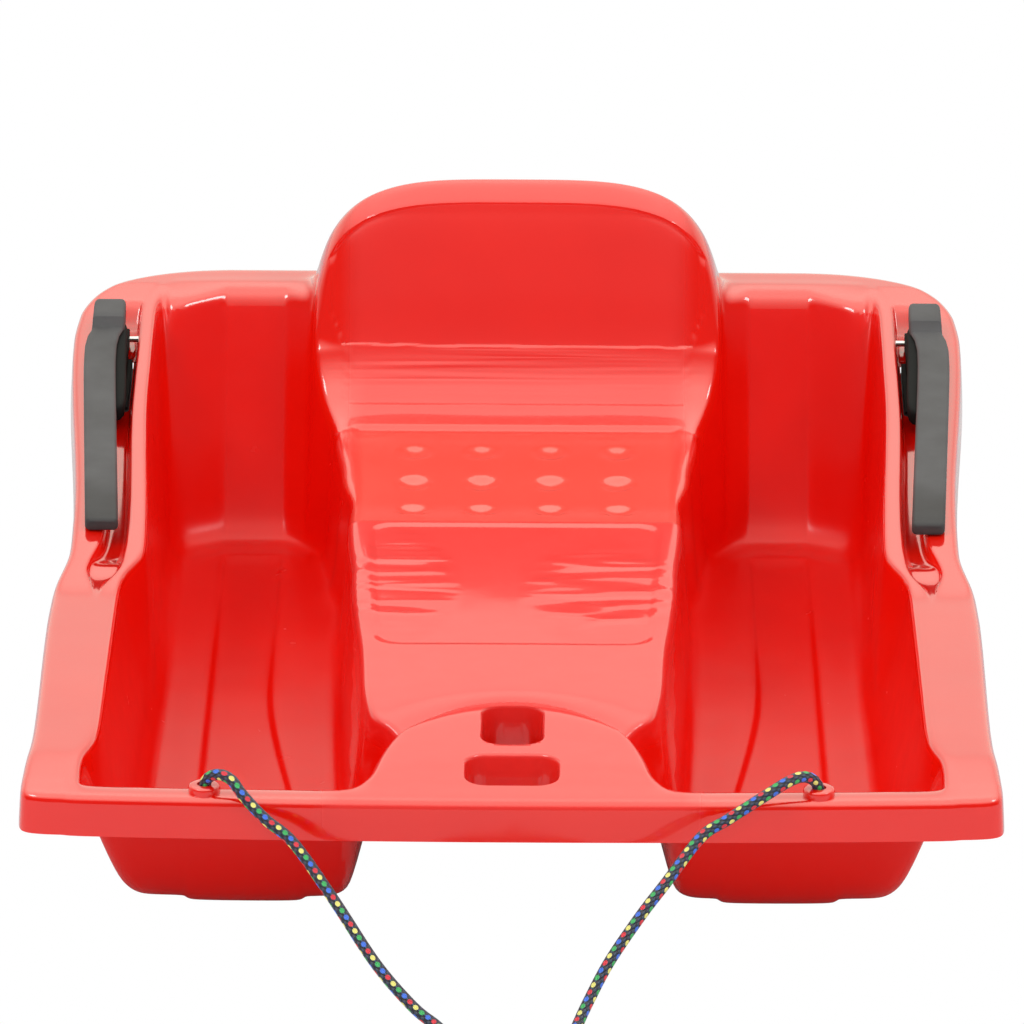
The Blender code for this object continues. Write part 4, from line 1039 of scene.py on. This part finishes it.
def addKnots(finish):
    for name, side in (("left", -1), ("right", 1)):
        middle = Vector((*ropeHole(side), knotLook["height"]))
        points = []
        for k in range(knotLook["steps"] + 1):
            t = k * math.tau / knotLook["steps"]
            points.append(middle + Vector((math.sin(t) + 2 * math.sin(2 * t), math.cos(t) - 2 * math.cos(2 * t),
                                           -math.sin(3 * t))) * knotLook["scale"])
        mesh, _ = tubeMesh("ropeKnot" + name.capitalize(), points, knotLook["tube"], knotLook["around"])
        knot = newObject(mesh.name, mesh, finish)
        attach(knot, "sled")
        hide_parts("rope_knot_" + name)


steelLook = {"shades": ((0.50, 0.51, 0.52), (0.66, 0.67, 0.68)), "roughness": (0.24, 0.40)}
strapLook = {"shades": [(0.2, (0.010, 0.011, 0.014)), (0.8, (0.030, 0.032, 0.040))], "weave": 5200.0}


def platedSteel():
    look = Look(bpy.data.materials.new("platedSteel"))
    cloud, rolled = look.noise(160.0, 4.0), look.noise((900.0, 120.0, 1500.0), 3.0)
    return look.surface({"Base Color": look.cloudy(cloud, steelLook["shades"]), "Metallic": 1.0,
                         "Roughness": look.remap(cloud, *steelLook["roughness"]),
                         "Normal": look.bump(rolled, 0.25, 0.00012)})


def wovenStrap():
    look = Look(bpy.data.materials.new("wovenStrap"))
    weave = [look.maths("SINE", look.product(axis, strapLook["weave"])) for axis in look.split(look.coords())]
    ribs = look.maths("ADD", look.product(weave[0], weave[1]), weave[2])
    return look.surface({"Base Color": look.ramp(look.remap(ribs, 0.0, 1.0, -2.0, 2.0), strapLook["shades"]),
                         "Roughness": 0.7, "Sheen Weight": 0.2, "Normal": look.bump(ribs, 0.5, 0.0003)})


def finishSmallParts():
    steel = platedSteel()
    looks = {"coil_tie": wovenStrap()}
    for side in ("left", "right"):
        for node in ("brake_claw_", "claw_rivet_upper_", "claw_rivet_lower_", "pivot_pin_", "pin_cap_"):
            looks[node + side] = steel
    for node, finish in looks.items():
        for slot in bpy.data.objects[node].material_slots:
            slot.material = finish


addKnots(ropeFinish)
finishSmallParts()
print("small parts finished")

# light is even from all sides, but what the gloss mirrors has a dark low front, a pale back and a bright top
studio = {"even": 0.93, "front": 0.08, "back": 1.0, "top": 2.8, "tint": (1.0, 0.95, 0.83, 1.0),
          "white": (1.0, 1.0, 1.0, 1.0),
          "toBack": (-0.30, 0.50), "toTop": (0.42, 0.85), "floor": (0.8, 0.6), "floorHalf": 6.0,
          "lamps": [("keyLamp", (-1.5, -1.3, 2.2), (1.0, 0.5), 14.0),
                    ("fillLamp", (1.7, -0.9, 1.9), (0.8, 0.4), 9.0)]}


def addWorld():
    bpy.context.scene.world = bpy.data.worlds.new("studio")
    look = Look(bpy.context.scene.world)
    _, y, z = look.split(look.coords("Generated"))
    level = look.remap(look.remap(y, 0.0, 1.0, *studio["toBack"]), studio["front"], studio["back"])
    lift = look.product(look.remap(z, 0.0, 1.0, *studio["toTop"]), look.maths("SUBTRACT", studio["top"], level))
    level = look.maths("ADD", level, lift)
    even = look.put(look.nodes["Background"], {"Color": studio["white"], "Strength": studio["even"]})
    mirrored = look.node("ShaderNodeBackground", {"Color": studio["tint"], "Strength": level})
    seen = look.node("ShaderNodeBackground", {"Color": studio["white"]})
    rays = look.node("ShaderNodeLightPath", {})
    shown = look.mixShaders(rays["Is Glossy Ray"], even[0], mirrored[0])
    look.put(look.nodes["World Output"], {"Surface": look.mixShaders(rays["Is Camera Ray"], shown, seen[0])})


def addLamps():
    for name, place, size, power in studio["lamps"]:
        lamp = bpy.data.lights.new(name, "AREA")
        lamp.shape = "RECTANGLE"
        lamp.size, lamp.size_y = size
        lamp.energy = power
        thing = newObject(name, lamp)
        thing.location = place
        thing.rotation_euler = (Vector((0.0, 0.0, 0.1)) - Vector(place)).to_track_quat("-Z", "Y").to_euler()


def addFloor():
    # plain white to the camera, and pale grey to the light that the sled gets from below
    half = studio["floorHalf"]
    corners = [(-half, -half, 0), (half, -half, 0), (half, half, 0), (-half, half, 0)]
    look = Look(bpy.data.materials.new("paleFloor"))
    rays = look.node("ShaderNodeLightPath", {})
    greys = [(float(k), (grey,) * 3) for k, grey in enumerate(studio["floor"])]
    finish = look.surface({"Base Color": look.ramp(rays["Is Glossy Ray"], greys), "Roughness": 0.9})
    pale, glow = look.nodes["Principled BSDF"].outputs["BSDF"], look.node("ShaderNodeEmission", {})["Emission"]
    look.put(look.nodes["Material Output"], {"Surface": look.mixShaders(rays["Is Camera Ray"], pale, glow)})
    floor = newObject("studioFloor", meshFrom("studioFloor", corners, [(0, 1, 2, 3)]), finish)


bpy.context.scene.view_settings.view_transform = "Standard"
addWorld()
addLamps()
addFloor()
print("studio lit")
